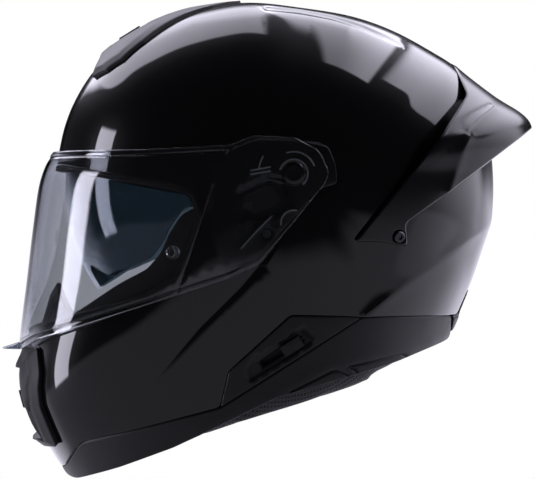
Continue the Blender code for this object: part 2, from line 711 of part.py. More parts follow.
def main():
    for obj in list(bpy.data.objects):
        bpy.data.objects.remove(obj)

    frame = bpy.data.objects.new("helmet_frame", None)
    frame.location = (0.0, PIVOT_SETBACK * MM, PIVOT_HEIGHT * MM)
    frame.rotation_euler = (math.radians(-TILT), 0.0, 0.0)
    bpy.context.scene.collection.objects.link(frame)

    add(frame, make_outer_shell(), "gloss_black")
    add(frame, make_lower_trim(), "matte_black")
    add(frame, make_rear_extractor(), "matte_black")
    add(frame, make_eyeport_gasket(), "rubber")
    add(frame, make_impact_liner(), "foam")
    add(frame, make_chin_bar_liner(), "foam")
    add(frame, make_crown_pad(), "fabric")
    add(frame, make_neck_roll(), "fabric")
    add(frame, make_breath_guard(), "rubber")
    add(frame, make_visor(), "clear_plastic")
    add(frame, make_sun_visor(), "smoke_plastic", (0.0, *SUN_PIVOT))
    slider_point, _ = surface_frame(SHELL, 0.0, *SLIDER_REST)
    add(frame, make_sun_visor_slider(), "matte_black", slider_point)
    add(frame, make_top_vent_cover(), "matte_black")
    add(frame, make_top_vent_slider(), "matte_black", (0.0, -107.5, 92.0))
    add(frame, make_chin_vent_housing(), "matte_black")
    add(frame, make_chin_vent_mesh(), "matte_black")
    add(frame, make_chin_vent_slider(), "matte_black", (0.0, -182.0, -146.0))
    add(frame, make_rear_spoiler(), "gloss_black")
    add(frame, make_buckle_body(), "steel")
    add(frame, make_buckle_tongue(), "steel")
    add(frame, make_buckle_lever(), "steel", (BUCKLE_HINGE[0], BUCKLE_Y, BUCKLE_HINGE[1]))
    for side in (1, -1):
        add(frame, make_side_panel(side), "matte_black")
        add(frame, make_cheek_pad(side), "fabric")
        add(frame, make_insert_pin(side), "clear_plastic")
        add(frame, make_base_plate(side), "matte_black")
        lever_point, _ = surface_frame(SHELL, 0.0, *LEVER_PIVOT, side)
        add(frame, make_release_lever(side), "matte_black", lever_point)
        add(frame, make_plate_screw(side, LEVER_PIVOT, "front"), "steel")
        add(frame, make_plate_screw(side, PLATE_SCREW, "rear"), "steel")
        add(frame, make_sun_visor_pivot(side), "matte_black")
        add(frame, make_spoiler_screw(side), "steel")
        add(frame, make_chin_strap(side), "webbing")
        add(frame, make_strap_anchor(side), "steel")


main()
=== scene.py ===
"""The looks of the motorcycle helmet: fine shells, lenses, linings, materials, camera and light.

The helmet's own upright frame has x to the wearer's left, y to the rear and z up, in millimetres,
with the visor's pivot axis as the x axis. upright() takes it to the row frame, in metres, where the
helmet leans back on its base. Outlines are (y, z) points of the side view in that upright frame.
"""

import json
import math
from collections import namedtuple

import bmesh
import bpy
import numpy as np
from mathutils import Matrix, Vector
from mathutils.geometry import delaunay_2d_cdt


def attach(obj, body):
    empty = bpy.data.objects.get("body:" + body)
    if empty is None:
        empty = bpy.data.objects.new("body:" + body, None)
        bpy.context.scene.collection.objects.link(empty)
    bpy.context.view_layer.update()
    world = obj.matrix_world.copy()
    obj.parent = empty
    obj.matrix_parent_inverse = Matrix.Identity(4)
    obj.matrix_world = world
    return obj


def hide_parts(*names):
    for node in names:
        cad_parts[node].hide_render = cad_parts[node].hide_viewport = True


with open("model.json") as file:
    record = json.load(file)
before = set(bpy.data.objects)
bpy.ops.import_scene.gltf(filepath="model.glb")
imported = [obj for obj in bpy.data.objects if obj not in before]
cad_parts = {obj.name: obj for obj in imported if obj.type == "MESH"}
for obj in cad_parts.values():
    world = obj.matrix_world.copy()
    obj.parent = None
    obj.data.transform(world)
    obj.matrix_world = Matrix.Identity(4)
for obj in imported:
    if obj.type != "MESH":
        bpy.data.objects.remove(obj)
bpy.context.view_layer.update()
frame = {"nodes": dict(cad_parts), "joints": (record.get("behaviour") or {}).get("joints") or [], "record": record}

MM = 0.001
REACH = 300.0
CROWN_POWER = 2.4
SIDE_POWER = 2.2
HALF_WIDTH = 125.0
SHELL_WALL = 4.0
VISOR_WALL = 2.2
VISOR_CLEARANCE = 1.4
PLATE_DEPTH = 2.3
GAP = 0.4
TILT = math.radians(18.0)
PIVOT = Vector(next(j for j in frame["joints"] if j["name"] == "visor_hinge")["pos_m"])
UPRIGHT = Matrix.Translation(PIVOT) @ Matrix.Rotation(-TILT, 4, "X")

SUN_PIVOT = (-35.7, -7.3)
SUN_RADIUS = 114.0
SUN_HALF_WIDTH = 107.0
SUN_WALL = 2.0

SHELL_KNOTS = (
    (5, 131.6), (16, 133), (25, 132.8), (33, 130), (42, 122.6), (53, 117.2), (66, 112.9),
    (77, 110.8), (87, 111), (97, 114.3), (106, 118.8), (116, 123.1), (134, 134.8),
    (147, 145), (158, 150.6), (168, 153.8), (174, 154.4), (181, 157), (190, 164),
    (202, 181), (212, 205.5), (219, 227), (225, 236), (231, 243), (250, 272),
    (270, 262), (290, 197), (306, 158), (320, 141.5), (330, 136.3), (339, 133.6), (348, 133.4),
)
VISOR_KNOTS = (
    (5, 138), (90, 122), (134, 142), (160, 155.5), (174, 157.6), (178, 164.2), (190, 172.8),
    (202, 188.6), (212, 212), (219, 232), (231, 247), (250, 276), (270, 266), (306, 163),
)
SPOILER_KNOTS = (
    (0, 150), (12, 162.3), (21, 144.5), (32, 131.8), (45, 127), (90, 116), (180, 165),
    (231, 250), (260, 275), (290, 203), (312, 160), (335, 147),
)

EYEPORT = (
    (-REACH, 7), (-152, 3), (-73.5, -11), (-66, -15), (-61.5, -25), (-69, -54), (-77, -65.5),
    (-94, -76.5), (-113.5, -82.5), (-153, -94), (-REACH, -137),
)
CHIN_SEAM = (
    (-REACH, -192), (-149, -190), (-139, -174.5), (-134.5, -171.5), (-108.5, -165), (-46.5, -148),
)
PANEL_TOP = ((-41, -125), (-2, -89.5))
REAR_SEAM = ((43.5, -90.5), (108, -91), (116, -73), (REACH, -60))
BASE_EDGE = (
    (REACH, -92), (112, -94), (114, -99), (113, -106), (104, -106.5), (84, -113.5), (67, -120),
    (38, -128.5), (-11, -142), (-76, -174.5), (-112, -188.55), (-142, -198.3), (-155, -195),
    (-REACH, -195),
)
VISOR_OUTLINE = (
    (-REACH, 16.4), (-94, 15.5), (-40, 18), (-25, 24), (1, 22.5), (16, 14.5), (22.4, 0.7),
    (19.8, -6.6), (-4.6, -36), (-22, -58), (-43, -67), (-100, -85.5), (-143, -99.5),
    (-166, -106.5), (-179, -113.5), (-REACH, -120),
)
BASE_PLATE = (
    (-42, 12), (-24, 20), (2, 19.5), (21, 16.5), (25.7, 5), (26.3, -6), (18, -8), (6, -20),
    (-6, -33), (-23, -53), (-45, -59), (-51, -40), (-51, -8),
)
SUN_OUTLINE = (
    (-175, 24), (-80, 8), (-40, 3), (-28, 0), (-25, -7), (-28, -14), (-45, -17), (-70, -22),
    (-79.5, -35), (-82, -42), (-91, -54), (-112, -63.5), (-129, -75), (-175, -104),
)
SPOILER_OUTLINE = (
    (39, -43), (79, 5.3), (94, 24), (113, 52), (105, 78), (190, 78), (190, 32), (158.6, 32),
    (130, 11), (111.5, -2.6), (71.3, -31.8), (72.8, -46), (54, -43),
)
PIN_PLACE = (-77.3, -49.6)
LEVER_POCKET = ((-36, -27), (-35, -10), (-17, -2), (-6, -4), (-2, -18), (-8, -26), (-24, -30))
LEVER_PIVOT = (-28.4, -20.1)
PLATE_SCREW = (-17.0, -38.0)
HUB_PLACE = 124.0
SPOILER_SCREW = (67.2, -40.1)
SLIDER_RECESS = ((-30, -121), (-28.5, -132.5), (14, -106), (4, -97.5), (-4, -103))
SLIDER_REST = (-1, -109)
SLIDER_SLOPE = 32.5
SLIDER_TRAVEL = 18.0
NECK_ROLL = (
    (-72, -172.5), (-54, -168.3), (-20, -155), (38, -139.2), (56, -130.5), (84, -113.5),
    (98, -103), (98, -97.5), (84, -101.5), (38, -115), (-11, -130), (-46, -149), (-70, -158.5),
)
ROLL_INSIDE = -29.0
LINER_INSIDE = -30.0
PAD_THICKNESS = 9.0
PUFF_FRAMES = 16
STRAP_GAP = 5.0
CHEEK_THICKNESS = 20.0
CROWN_PAD = (
    (-REACH, 26), (-60, 14), (-18, -6), (12, -40), (50, -66), (REACH, -80), (REACH, REACH),
    (-REACH, REACH),
)
CHEEK_PAD = (
    (-50, -24), (-47, -32), (-53, -58), (-62, -78), (-57, -110), (-46, -136), (-11, -124),
    (26, -114.5), (32, -70), (8, -44), (-20, -26),
)
VENT_OUTLINE = (
    (-REACH, -115.2), (-170, -114.6), (-167.5, -131), (-168.6, -141), (-167.5, -153.5),
    (-162.5, -166), (-156.5, -180), (-REACH, -190),
)
VENT_RISE = 8.6
GRID_RISE = 2.4
GRID_TOP = -124.5
GRID_BASE = -176.5
CELL_PITCH = 4.2
VENT_WINDOW = ((-REACH, -123), (-160, -126), (-160, -158), (-150, -172), (-REACH, -178))
# Half outlines of the top vent seen from above, as (x, y).
TOP_VENT = (
    (20, -124), (43, -128), (55, -119), (61, -108), (56, -95), (47, -84), (38, -72), (24, -52), (8, -34),
)
TOP_SLOT = ((9.6, -115), (9.6, -92))

# Creases and folds of the side view.
CHIN_CREASE = ((-22, -58), (-34.3, -71.9), (-60, -97), (-90, -132), (-115.5, -162.4), (-140, -195))
REAR_CREASE = (
    (155, -17), (129.8, -30.9), (117.5, -37.4), (96.4, -53.1), (71.3, -69.8), (50.2, -86.5), (15, -113),
)
CROWN_RIDGE = ((-122, 62), (-96, 82.5), (-64, 97), (-18, 102), (12, 99), (34, 93))
REAR_GROOVE = ((-17, 108), (4, 106), (25, 102), (45, 95.5), (60, 89), (71, 83))
VISOR_STEP = ((-50.8, -8.4), (-61.7, -41), (-74.4, -77.9))
WING_FOLD = ((111, 24), (99, -11))
WING_RIDGE = ((94, 22.5), (110.6, 26.4), (119.1, 35.9), (129.4, 43.6))
TRIM_FOLD = ((-60.7, -162.9), (-13.3, -141.6), (22.2, -122.6), (31.7, -120), (79, -109.6), (104, -103))
TRIM_PATCHES = (
    ((-1.5, -137.7), (24.6, -124.8), (27.5, -124.8), (34.7, -128)),
    ((72.8, -116.7), (69.6, -114.9), (34.7, -122.2), (40.6, -126.2)),
)

# ---------------------------------------------------------------- surfaces

Surface = namedtuple("Surface", "radius half_width centre")


def radius_curve(knots, blur=3.0, harmonics=60):
    """The CAD's closed radius curve, smoothed over a few degrees so that its reflections flow."""
    count = len(knots)
    angles = np.array([k[0] for k in knots], float)
    radii = np.array([k[1] for k in knots], float)
    angles = np.concatenate([angles[-2:] - 360, angles, angles[:3] + 360])
    radii = np.concatenate([radii[-2:], radii, radii[:3]])
    slopes = (radii[2:] - radii[:-2]) / (angles[2:] - angles[:-2])
    slopes = np.concatenate([[0], slopes, [0]])
    samples = 720
    turn = np.arange(samples) * 360.0 / samples
    turn = np.where(turn < angles[2], turn + 360, turn)
    index = np.clip(np.searchsorted(angles, turn, side="right") - 1, 1, count + 2)
    span = angles[index + 1] - angles[index]
    t = (turn - angles[index]) / span
    low, high = radii[index], radii[index + 1]
    rise, fall = slopes[index] * span, slopes[index + 1] * span
    values = (2 * low - 2 * high + rise + fall) * t ** 3
    values += (3 * high - 3 * low - 2 * rise - fall) * t ** 2 + rise * t + low
    waves = np.fft.rfft(values) / samples
    order = np.arange(harmonics)
    damping = np.exp(-0.5 * (order * math.radians(blur)) ** 2)
    cosines = 2 * waves.real[:harmonics] * damping
    sines = -2 * waves.imag[:harmonics] * damping
    cosines[0] = waves.real[0]

    def radius(radians):
        phase = np.multiply.outer(np.asarray(radians, float), order)
        return np.cos(phase) @ cosines + np.sin(phase) @ sines

    return radius


SHELL = Surface(radius_curve(SHELL_KNOTS), HALF_WIDTH, (0.0, 0.0))
VISOR = Surface(radius_curve(VISOR_KNOTS), HALF_WIDTH + VISOR_CLEARANCE + VISOR_WALL, (0.0, 0.0))
SPOILER = Surface(radius_curve(SPOILER_KNOTS, 1.6, 90), HALF_WIDTH + 4.0, (0.0, 0.0))
SUN = Surface(lambda radians: SUN_RADIUS + 0.0 * np.asarray(radians, float), SUN_HALF_WIDTH, SUN_PIVOT)
EDGE_LEAN = math.pi / 2
SIDES = ((1, "left"), (-1, "right"))


def disc_to_side(surface, u, v):
    """Side-view place of a point of the disc, whose radius is the lean from the pivot axis."""
    lean = np.minimum(np.hypot(u, v), EDGE_LEAN)
    turn = np.arctan2(v, u)
    radius = surface.radius(turn) * np.sin(lean) ** (2 / CROWN_POWER)
    return surface.centre[0] + radius * np.cos(turn), surface.centre[1] + radius * np.sin(turn)


def side_to_disc(surface, y, z):
    """The disc place of a side-view point; past the silhouette it lies outside the disc."""
    y = np.asarray(y, float) - surface.centre[0]
    z = np.asarray(z, float) - surface.centre[1]
    turn = np.arctan2(z, y)
    share = np.hypot(y, z) / surface.radius(turn)
    lean = np.arcsin(np.minimum(share, 1.0) ** (CROWN_POWER / 2)) + np.maximum(share - 1.0, 0.0)
    return lean * np.cos(turn), lean * np.sin(turn)


def lift(surface, u, v, offset):
    """Upright-frame points of the left side at an offset from the surface."""
    lean = np.minimum(np.hypot(u, v), EDGE_LEAN)
    turn = np.arctan2(v, u)
    radius = (surface.radius(turn) + offset) * np.sin(lean) ** (2 / CROWN_POWER)
    x = (surface.half_width + offset) * np.maximum(np.cos(lean), 0.0) ** (2 / SIDE_POWER)
    y = surface.centre[0] + radius * np.cos(turn)
    z = surface.centre[1] + radius * np.sin(turn)
    return np.stack([x, y, z], axis=-1)


def surface_frame(surface, y, z, offset=0.0, side=1):
    """The upright-frame point and outward normal of the surface over a side-view point."""
    u, v = (float(c) for c in side_to_disc(surface, y, z))
    step = 1e-3
    here = lift(surface, np.array([u]), np.array([v]), offset)[0]
    du = lift(surface, np.array([u + step]), np.array([v]), offset)[0] - here
    dv = lift(surface, np.array([u]), np.array([v + step]), offset)[0] - here
    normal = np.cross(du, dv)
    normal /= np.linalg.norm(normal)
    if normal[0] < 0:
        normal = -normal
    flip = np.array([side, 1.0, 1.0])
    return Vector(here * flip), Vector(normal * flip)


# ---------------------------------------------------------------- outlines

def rounded(outline, radius=3.0, steps=6):
    """The outline with each corner turned into a short curve."""
    count = len(outline)
    result = []
    for index in range(count):
        corner = Vector(outline[index])
        before = Vector(outline[index - 1]) - corner
        after = Vector(outline[(index + 1) % count]) - corner
        reach = min(radius, before.length * 0.45, after.length * 0.45)
        start = corner + before.normalized() * reach
        stop = corner + after.normalized() * reach
        for step in range(steps + 1):
            t = step / steps
            result.append(tuple(start * (1 - t) ** 2 + corner * 2 * t * (1 - t) + stop * t ** 2))
    return result


def dense(outline, spacing=2.5, closed=True):
    """The outline with points no further apart than spacing."""
    result = []
    count = len(outline)
    for index in range(count if closed else count - 1):
        start = np.array(outline[index], float)
        stop = np.array(outline[(index + 1) % count], float)
        pieces = max(1, int(math.ceil(np.linalg.norm(stop - start) / spacing)))
        result += [start + (stop - start) * piece / pieces for piece in range(pieces)]
    if not closed:
        result.append(np.array(outline[-1], float))
    return np.array(result)


def slot_outline(start, stop, width):
    """A rectangle along the sun visor slider's line."""
    slope = math.radians(SLIDER_SLOPE)
    along = Vector((math.cos(slope), math.sin(slope)))
    aside = Vector((-along.y, along.x)) * width / 2
    rest = Vector(SLIDER_REST)
    return [tuple(rest + along * start - aside), tuple(rest + along * stop - aside),
            tuple(rest + along * stop + aside), tuple(rest + along * start + aside)]


def circle(centre, radius, count=40):
    """A round outline."""
    turns = [2 * math.pi * index / count for index in range(count)]
    return [(centre[0] + radius * math.cos(t), centre[1] + radius * math.sin(t)) for t in turns]


def grow(outline, distance):
    """The outline with each edge moved outwards by distance, or inwards if it is negative."""
    count = len(outline)
    area = sum(outline[i - 1][0] * outline[i][1] - outline[i][0] * outline[i - 1][1] for i in range(count))
    turn = 1.0 if area > 0 else -1.0
    moved = []
    for index in range(count):
        corner = Vector(outline[index])
        before = (corner - Vector(outline[index - 1])).normalized()
        after = (Vector(outline[(index + 1) % count]) - corner).normalized()
        out_before = Vector((before.y, -before.x)) * turn
        out_after = Vector((after.y, -after.x)) * turn
        middle = (out_before + out_after).normalized()
        moved.append(tuple(corner + middle * distance / max(0.35, middle.dot(out_before))))
    return moved


def depth_inside(outline, y, z):
    """Signed distance to a closed outline, positive inside it."""
    a = np.array(outline, float)
    b = np.roll(a, -1, axis=0)
    keep = np.hypot(*(b - a).T) > 1e-9
    a, b = a[keep], b[keep]
    y, z = np.asarray(y, float).ravel(), np.asarray(z, float).ravel()
    nearest = np.full(y.shape, 1e9)
    inside = np.zeros(y.shape, bool)
    for (ay, az), (by, bz) in zip(a, b):
        ey, ez = by - ay, bz - az
        t = np.clip(((y - ay) * ey + (z - az) * ez) / (ey * ey + ez * ez), 0, 1)
        nearest = np.minimum(nearest, np.hypot(y - ay - t * ey, z - az - t * ez))
        if az != bz:
            crosses = (az > z) != (bz > z)
            inside ^= crosses & (y < ay + (z - az) / (bz - az) * ey)
    return np.where(inside, nearest, -nearest)


def smooth_step(t):
    """0 below 0, 1 above 1, smooth between them."""
    t = np.clip(t, 0.0, 1.0)
    return t * t * (3 - 2 * t)


# ---------------------------------------------------------------- meshes

def upright(points):
    """Upright-frame millimetres to row-frame metres."""
    lean = np.array(UPRIGHT.to_3x3())
    return np.asarray(points, float) * MM @ lean.T + np.array(UPRIGHT.translation)


def link(obj):
    bpy.context.scene.collection.objects.link(obj)
    return obj


class Region:
    """What a panel covers: inside every outline of keep, outside every one of holes.

    windows are (outline, belt) pairs: a hole where the outline lies beyond the belt, which is a
    side-view loop of equal distance from the midplane. crisp holes are small and keep their corners."""

    def __init__(self, keep, holes=(), windows=(), crisp=(), corner=3.0):
        self.keep = [rounded(o, corner) if len(o) < 36 else list(o) for o in keep]
        self.holes = [rounded(o, corner) if len(o) < 36 else list(o) for o in holes]
        self.windows = [(rounded(outline, corner), list(loop)) for outline, loop in windows]
        self.crisp = [list(o) for o in crisp]

    def depth(self, y, z):
        depths = [depth_inside(o, y, z) for o in self.keep] + [-depth_inside(o, y, z) for o in self.holes]
        for outline, loop in self.windows:
            hole = np.minimum(depth_inside(outline, y, z), -depth_inside(loop, y, z))
            depths.append(-hole)
        depths += [-depth_inside(o, y, z) for o in self.crisp]
        return np.min(depths, axis=0)

    def loops(self, inset):
        for outline in self.keep:
            yield grow(outline, -inset) if inset else outline
        for outline in self.holes:
            yield grow(outline, inset) if inset else outline
        for outline, loop in self.windows:
            yield grow(outline, inset) if inset else outline
            yield grow(loop, -inset) if inset else loop
        if not inset:
            yield from self.crisp


def shifted(surface, offset):
    """The surface moved outwards."""
    return Surface(lambda radians: surface.radius(radians) + offset, surface.half_width + offset,
                   surface.centre)


def belt(surface, x, count=240):
    """The side-view loop of the surface's points at a distance from the midplane."""
    lean = math.acos(min(1.0, (x / surface.half_width) ** (SIDE_POWER / 2)))
    turns = np.arange(count) * 2 * math.pi / count
    radius = surface.radius(turns) * math.sin(lean) ** (2 / CROWN_POWER)
    return [(surface.centre[0] + r * math.cos(t), surface.centre[1] + r * math.sin(t))
            for r, t in zip(radius, turns)]


def last_turn(low, high, holds):
    """The greatest turn for which holds(turn) is true, between low and high degrees."""
    low, high = math.radians(low), math.radians(high)
    for _ in range(40):
        middle = (low + high) / 2
        if holds(middle):
            low = middle
        else:
            high = middle
    return low


def from_above(surface, half_outline):
    """A side-view outline of what lies between two mirrored (x, y) edges of the crown."""
    side = []
    for x, y in dense(half_outline, 1.5, closed=False):
        lean = math.acos(min(1.0, (x / surface.half_width) ** (SIDE_POWER / 2)))
        scale = math.sin(lean) ** (2 / CROWN_POWER)
        turn = last_turn(1, 179, lambda a: float(surface.radius(a)) * scale * math.cos(a) > y)
        side.append((y, float(surface.radius(turn)) * scale * math.sin(turn)))
    return side + [(side[-1][0], REACH), (side[0][0], REACH)]


def panel(name, surface, region, outer, inner, relief=None, lines=(), spacing=1.7, edge=0.9, drop=0.5,
          sides=(1, -1), inner_surface=None, datum=0.0, rim=None):
    """A closed shell piece: the region of the surface between two offsets, with rolled edges.

    relief(y, z) adds to the outer offset. lines are side-view polylines that the mesh follows. rim
    gives the walls round the edges a material index of their own. The mesh is triangulated in the
    disc, so its outlines are exact at the datum offset, and its outer normals come from the shape."""
    if datum:
        surface = shifted(surface, datum)
        outer -= datum
        inner -= datum
    step = math.radians(spacing)
    reach = int(EDGE_LEAN / step) + 2
    rows = np.arange(-reach, reach + 1)
    grid_u, grid_v = np.meshgrid(rows * step, rows * step * math.sqrt(3) / 2)
    grid_u = grid_u + np.where(np.abs(rows)[:, None] % 2 == 1, step / 2, 0.0)
    grid_u, grid_v = grid_u.ravel(), grid_v.ravel()
    near_rim = np.hypot(grid_u, grid_v) < EDGE_LEAN - step * 0.6
    grid_u, grid_v = grid_u[near_rim], grid_v[near_rim]
    y, z = disc_to_side(surface, grid_u, grid_v)
    depth = region.depth(y, z)
    keep = depth > max(edge * 1.6, 1.2)
    for line in lines:
        keep &= distance_to_line(line, y, z) > 1.2
    coords = [tuple(p) for p in np.stack([grid_u[keep], grid_v[keep]], axis=1)]
    edges = []

    def constrain(points, closed):
        u, v = side_to_disc(surface, points[:, 0], points[:, 1])
        far = np.hypot(u, v) > EDGE_LEAN + 0.2
        start = len(coords)
        coords.extend(zip(u.tolist(), v.tolist()))
        total = len(points)
        for index in range(total if closed else total - 1):
            following = (index + 1) % total
            if not (far[index] and far[following]):
                edges.append((start + index, start + following))

    for inset in ((0.0, edge * 0.45, edge) if edge else (0.0,)):
        for loop in region.loops(inset):
            constrain(dense(loop), True)
    for line in lines:
        constrain(dense(line, closed=False), False)
    rim_count = 260
    rim_start = len(coords)
    for index in range(rim_count):
        turn = 2 * math.pi * index / rim_count
        coords.append((EDGE_LEAN * math.cos(turn), EDGE_LEAN * math.sin(turn)))
        edges.append((rim_start + index, rim_start + (index + 1) % rim_count))

    found, _, triangles, *_ = delaunay_2d_cdt([Vector(c) for c in coords], edges, [], 0, 1e-6)
    flat = np.array([tuple(c) for c in found])
    triangles = np.array([t for t in triangles if len(t) == 3])
    centre = flat[triangles].mean(axis=1)
    y, z = disc_to_side(surface, centre[:, 0], centre[:, 1])
    inside = (np.hypot(centre[:, 0], centre[:, 1]) < EDGE_LEAN * 0.99995) & (region.depth(y, z) > 0)
    triangles = triangles[inside]
    used = np.unique(triangles)
    renumber = np.full(len(flat), -1)
    renumber[used] = np.arange(len(used))
    triangles = renumber[triangles]
    flat = flat[used]
    on_rim = np.hypot(flat[:, 0], flat[:, 1]) > EDGE_LEAN * (1 - 2e-4)

    def shape(u, v):
        side_y, side_z = disc_to_side(surface, u, v)
        offset = np.full(u.shape, float(outer))
        if relief is not None:
            offset = offset + relief(side_y, side_z)
        if edge:
            depth = region.depth(side_y, side_z)
            offset = offset - drop * np.maximum(1 - depth / edge, 0.0) ** 2
        return lift(surface, u, v, offset)

    u, v = flat[:, 0], flat[:, 1]
    upper = shape(u, v)
    tiny = 4e-4
    lean = np.hypot(u, v)
    shrink = np.where(lean > EDGE_LEAN - 2 * tiny, (EDGE_LEAN - 2 * tiny) / np.maximum(lean, 1e-9), 1.0)
    cu, cv = u * shrink, v * shrink
    along_u = shape(cu + tiny, cv) - shape(cu - tiny, cv)
    along_v = shape(cu, cv + tiny) - shape(cu, cv - tiny)
    normals = np.cross(along_u, along_v)
    normals /= np.linalg.norm(normals, axis=1, keepdims=True)
    wrong = np.sum(normals * (upper - np.array([0.0, *surface.centre])), axis=1) < 0
    normals[wrong] *= -1
    normals[on_rim, 0] = 0.0
    normals /= np.linalg.norm(normals, axis=1, keepdims=True)
    flat_inner = np.full(u.shape, float(inner))
    if inner_surface is None:
        lower = lift(surface, u, v, flat_inner)
    else:
        place = side_to_disc(inner_surface, *disc_to_side(surface, u, v))
        lower = lift(inner_surface, *place, flat_inner)
    upper[on_rim, 0] = 0.0
    lower[on_rim, 0] = 0.0

    points, smooth, faces, kinds, places = [], [], [], [], []
    shared = {}
    for side in sides:
        flip = np.array([side, 1.0, 1.0])
        numbers = np.empty((2, len(flat)), int)
        for level, layer_points in enumerate((upper, lower)):
            for index in range(len(flat)):
                if on_rim[index] and (level, index) in shared:
                    numbers[level, index] = shared[level, index]
                    continue
                numbers[level, index] = len(points)
                if on_rim[index]:
                    shared[level, index] = len(points)
                points.append(layer_points[index] * flip)
                places.append((u[index] * 0.15, v[index] * 0.15 * side))
                smooth.append(normals[index] * flip * (1 if level == 0 else -1))
        order = triangles if side > 0 else triangles[:, ::-1]
        faces += numbers[0][order].tolist()
        kinds += [0] * len(order)
        faces += numbers[1][order[:, ::-1]].tolist()
        kinds += [1] * len(order)
        border = {}
        for a, b, c in order.tolist():
            for start, stop in ((a, b), (b, c), (c, a)):
                if (stop, start) in border:
                    del border[stop, start]
                else:
                    border[start, stop] = True
        for start, stop in border:
            if on_rim[start] and on_rim[stop] and len(sides) == 2:
                continue
            faces.append([numbers[0][stop], numbers[0][start], numbers[1][start], numbers[1][stop]])
            kinds.append(2)

    mesh = bpy.data.meshes.new(name)
    world = upright(points)
    mesh.from_pydata(world.tolist(), [], faces)
    outward = mesh_volume(world, faces) > 0
    if not outward:
        mesh.flip_normals()
    mesh.shade_smooth()
    turned = np.asarray(smooth) @ np.array(UPRIGHT.to_3x3()).T
    custom = []
    for polygon in mesh.polygons:
        kind = kinds[polygon.index]
        for vertex in polygon.vertices:
            custom.append(polygon.normal if kind == 2 else turned[vertex])
    weave = mesh.uv_layers.new(name="weave")
    for loop in mesh.loops:
        weave.data[loop.index].uv = places[loop.vertex_index]
    mesh.normals_split_custom_set([tuple(n) for n in custom])
    if rim:
        for polygon in mesh.polygons:
            polygon.material_index = 1 if kinds[polygon.index] == 2 else 0
    return link(bpy.data.objects.new(name, mesh))


def mesh_volume(points, faces):
    """Signed volume from triangle fans."""
    total = 0.0
    for face in faces:
        first = points[face[0]]
        for b, c in zip(face[1:], face[2:]):
            total += float(np.dot(first, np.cross(points[b], points[c])))
    return total / 6


def crease(line, y, z, reach, radius=1.6):
    """1 on a line of the side view, falling off over reach, with a rounded top."""
    away = distance_to_line(line, y, z)
    return np.exp((radius - np.sqrt(away ** 2 + radius ** 2)) / reach)


def beside(line, distance):
    """An open side-view line moved sideways."""
    points = [Vector(p) for p in line]
    moved = []
    for index, point in enumerate(points):
        along = points[min(index + 1, len(points) - 1)] - points[max(index - 1, 0)]
        along.normalize()
        moved.append((point.x - along.y * distance, point.y + along.x * distance))
    return moved


def distance_to_line(line, y, z):
    """Distance to an open polyline of the side view."""
    y, z = np.asarray(y, float), np.asarray(z, float)
    nearest = np.full(y.shape, 1e9)
    for (ay, az), (by, bz) in zip(line[:-1], line[1:]):
        ey, ez = by - ay, bz - az
        t = np.clip(((y - ay) * ey + (z - az) * ez) / (ey * ey + ez * ez), 0, 1)
        nearest = np.minimum(nearest, np.hypot(y - ay - t * ey, z - az - t * ez))
    return nearest


def groove(line, y, z, width):
    """1 on a line of the side view, falling off as a bell of that width."""
    return np.exp(-(distance_to_line(line, y, z) / width) ** 2)


def guides(line, *reaches):
    """The line and its copies at those distances on both sides, for a mesh to follow."""
    places = [-reach for reach in reaches] + [0.0] + list(reversed(reaches))
    return [beside(line, distance) for distance in places]


def closed(loop):
    """The loop with its first point again at its end."""
    return loop + loop[:1]


def step_lines(outline, width):
    """Closed lines on both sides of a step of that width inside an outline."""
    return [closed(outline), closed(grow(outline, -width))]


# ---------------------------------------------------------------- materials

def new_material(name, colour, roughness, metallic=0.0, **sockets):
    """A Principled material; sockets set further inputs by name, with _ for a space."""
    material = bpy.data.materials.new(name)
    material.use_nodes = True
    shader = material.node_tree.nodes["Principled BSDF"]
    shader.inputs["Base Color"].default_value = (*colour, 1.0)
    shader.inputs["Roughness"].default_value = roughness
    shader.inputs["Metallic"].default_value = metallic
    for socket, value in sockets.items():
        shader.inputs[socket.replace("_", " ")].default_value = value
    return material, material.node_tree, shader


def object_noise(tree, scale, detail=3.0, roughness=0.55):
    """Noise over the object's own coordinates."""
    place = tree.nodes.new("ShaderNodeTexCoord")
    noise = tree.nodes.new("ShaderNodeTexNoise")
    noise.inputs["Scale"].default_value = scale
    noise.inputs["Detail"].default_value = detail
    noise.inputs["Roughness"].default_value = roughness
    tree.links.new(place.outputs["Object"], noise.inputs["Vector"])
    return noise.outputs["Fac"]


def vary(tree, value, low, high):
    """Maps 0..1 to low..high."""
    spread = tree.nodes.new("ShaderNodeMapRange")
    spread.inputs["To Min"].default_value = low
    spread.inputs["To Max"].default_value = high
    tree.links.new(value, spread.inputs["Value"])
    return spread.outputs["Result"]


def bump(tree, shader, height, strength, distance):
    node = tree.nodes.new("ShaderNodeBump")
    node.inputs["Strength"].default_value = strength
    node.inputs["Distance"].default_value = distance
    tree.links.new(height, node.inputs["Height"])
    tree.links.new(node.outputs["Normal"], shader.inputs["Normal"])


def plain(name, colour, scale, low, high, extras):
    """A material whose roughness wanders between low and high over noise of that scale.

    extras are sockets by name, with "detail" of the noise, "metallic", and "grain" as the scale,
    detail and strength of a fine bump."""
    extras = dict(extras)
    detail, metallic, grain = (extras.pop(key, other) for key, other in
                               (("detail", 3.0), ("metallic", 0.0), ("grain", None)))
    material, tree, shader = new_material(name, colour, (low + high) / 2, metallic, **extras)
    tree.links.new(vary(tree, object_noise(tree, scale, detail), low, high), shader.inputs["Roughness"])
    if grain:
        bump(tree, shader, object_noise(tree, *grain[:2]), grain[2], 0.0002)
    return material


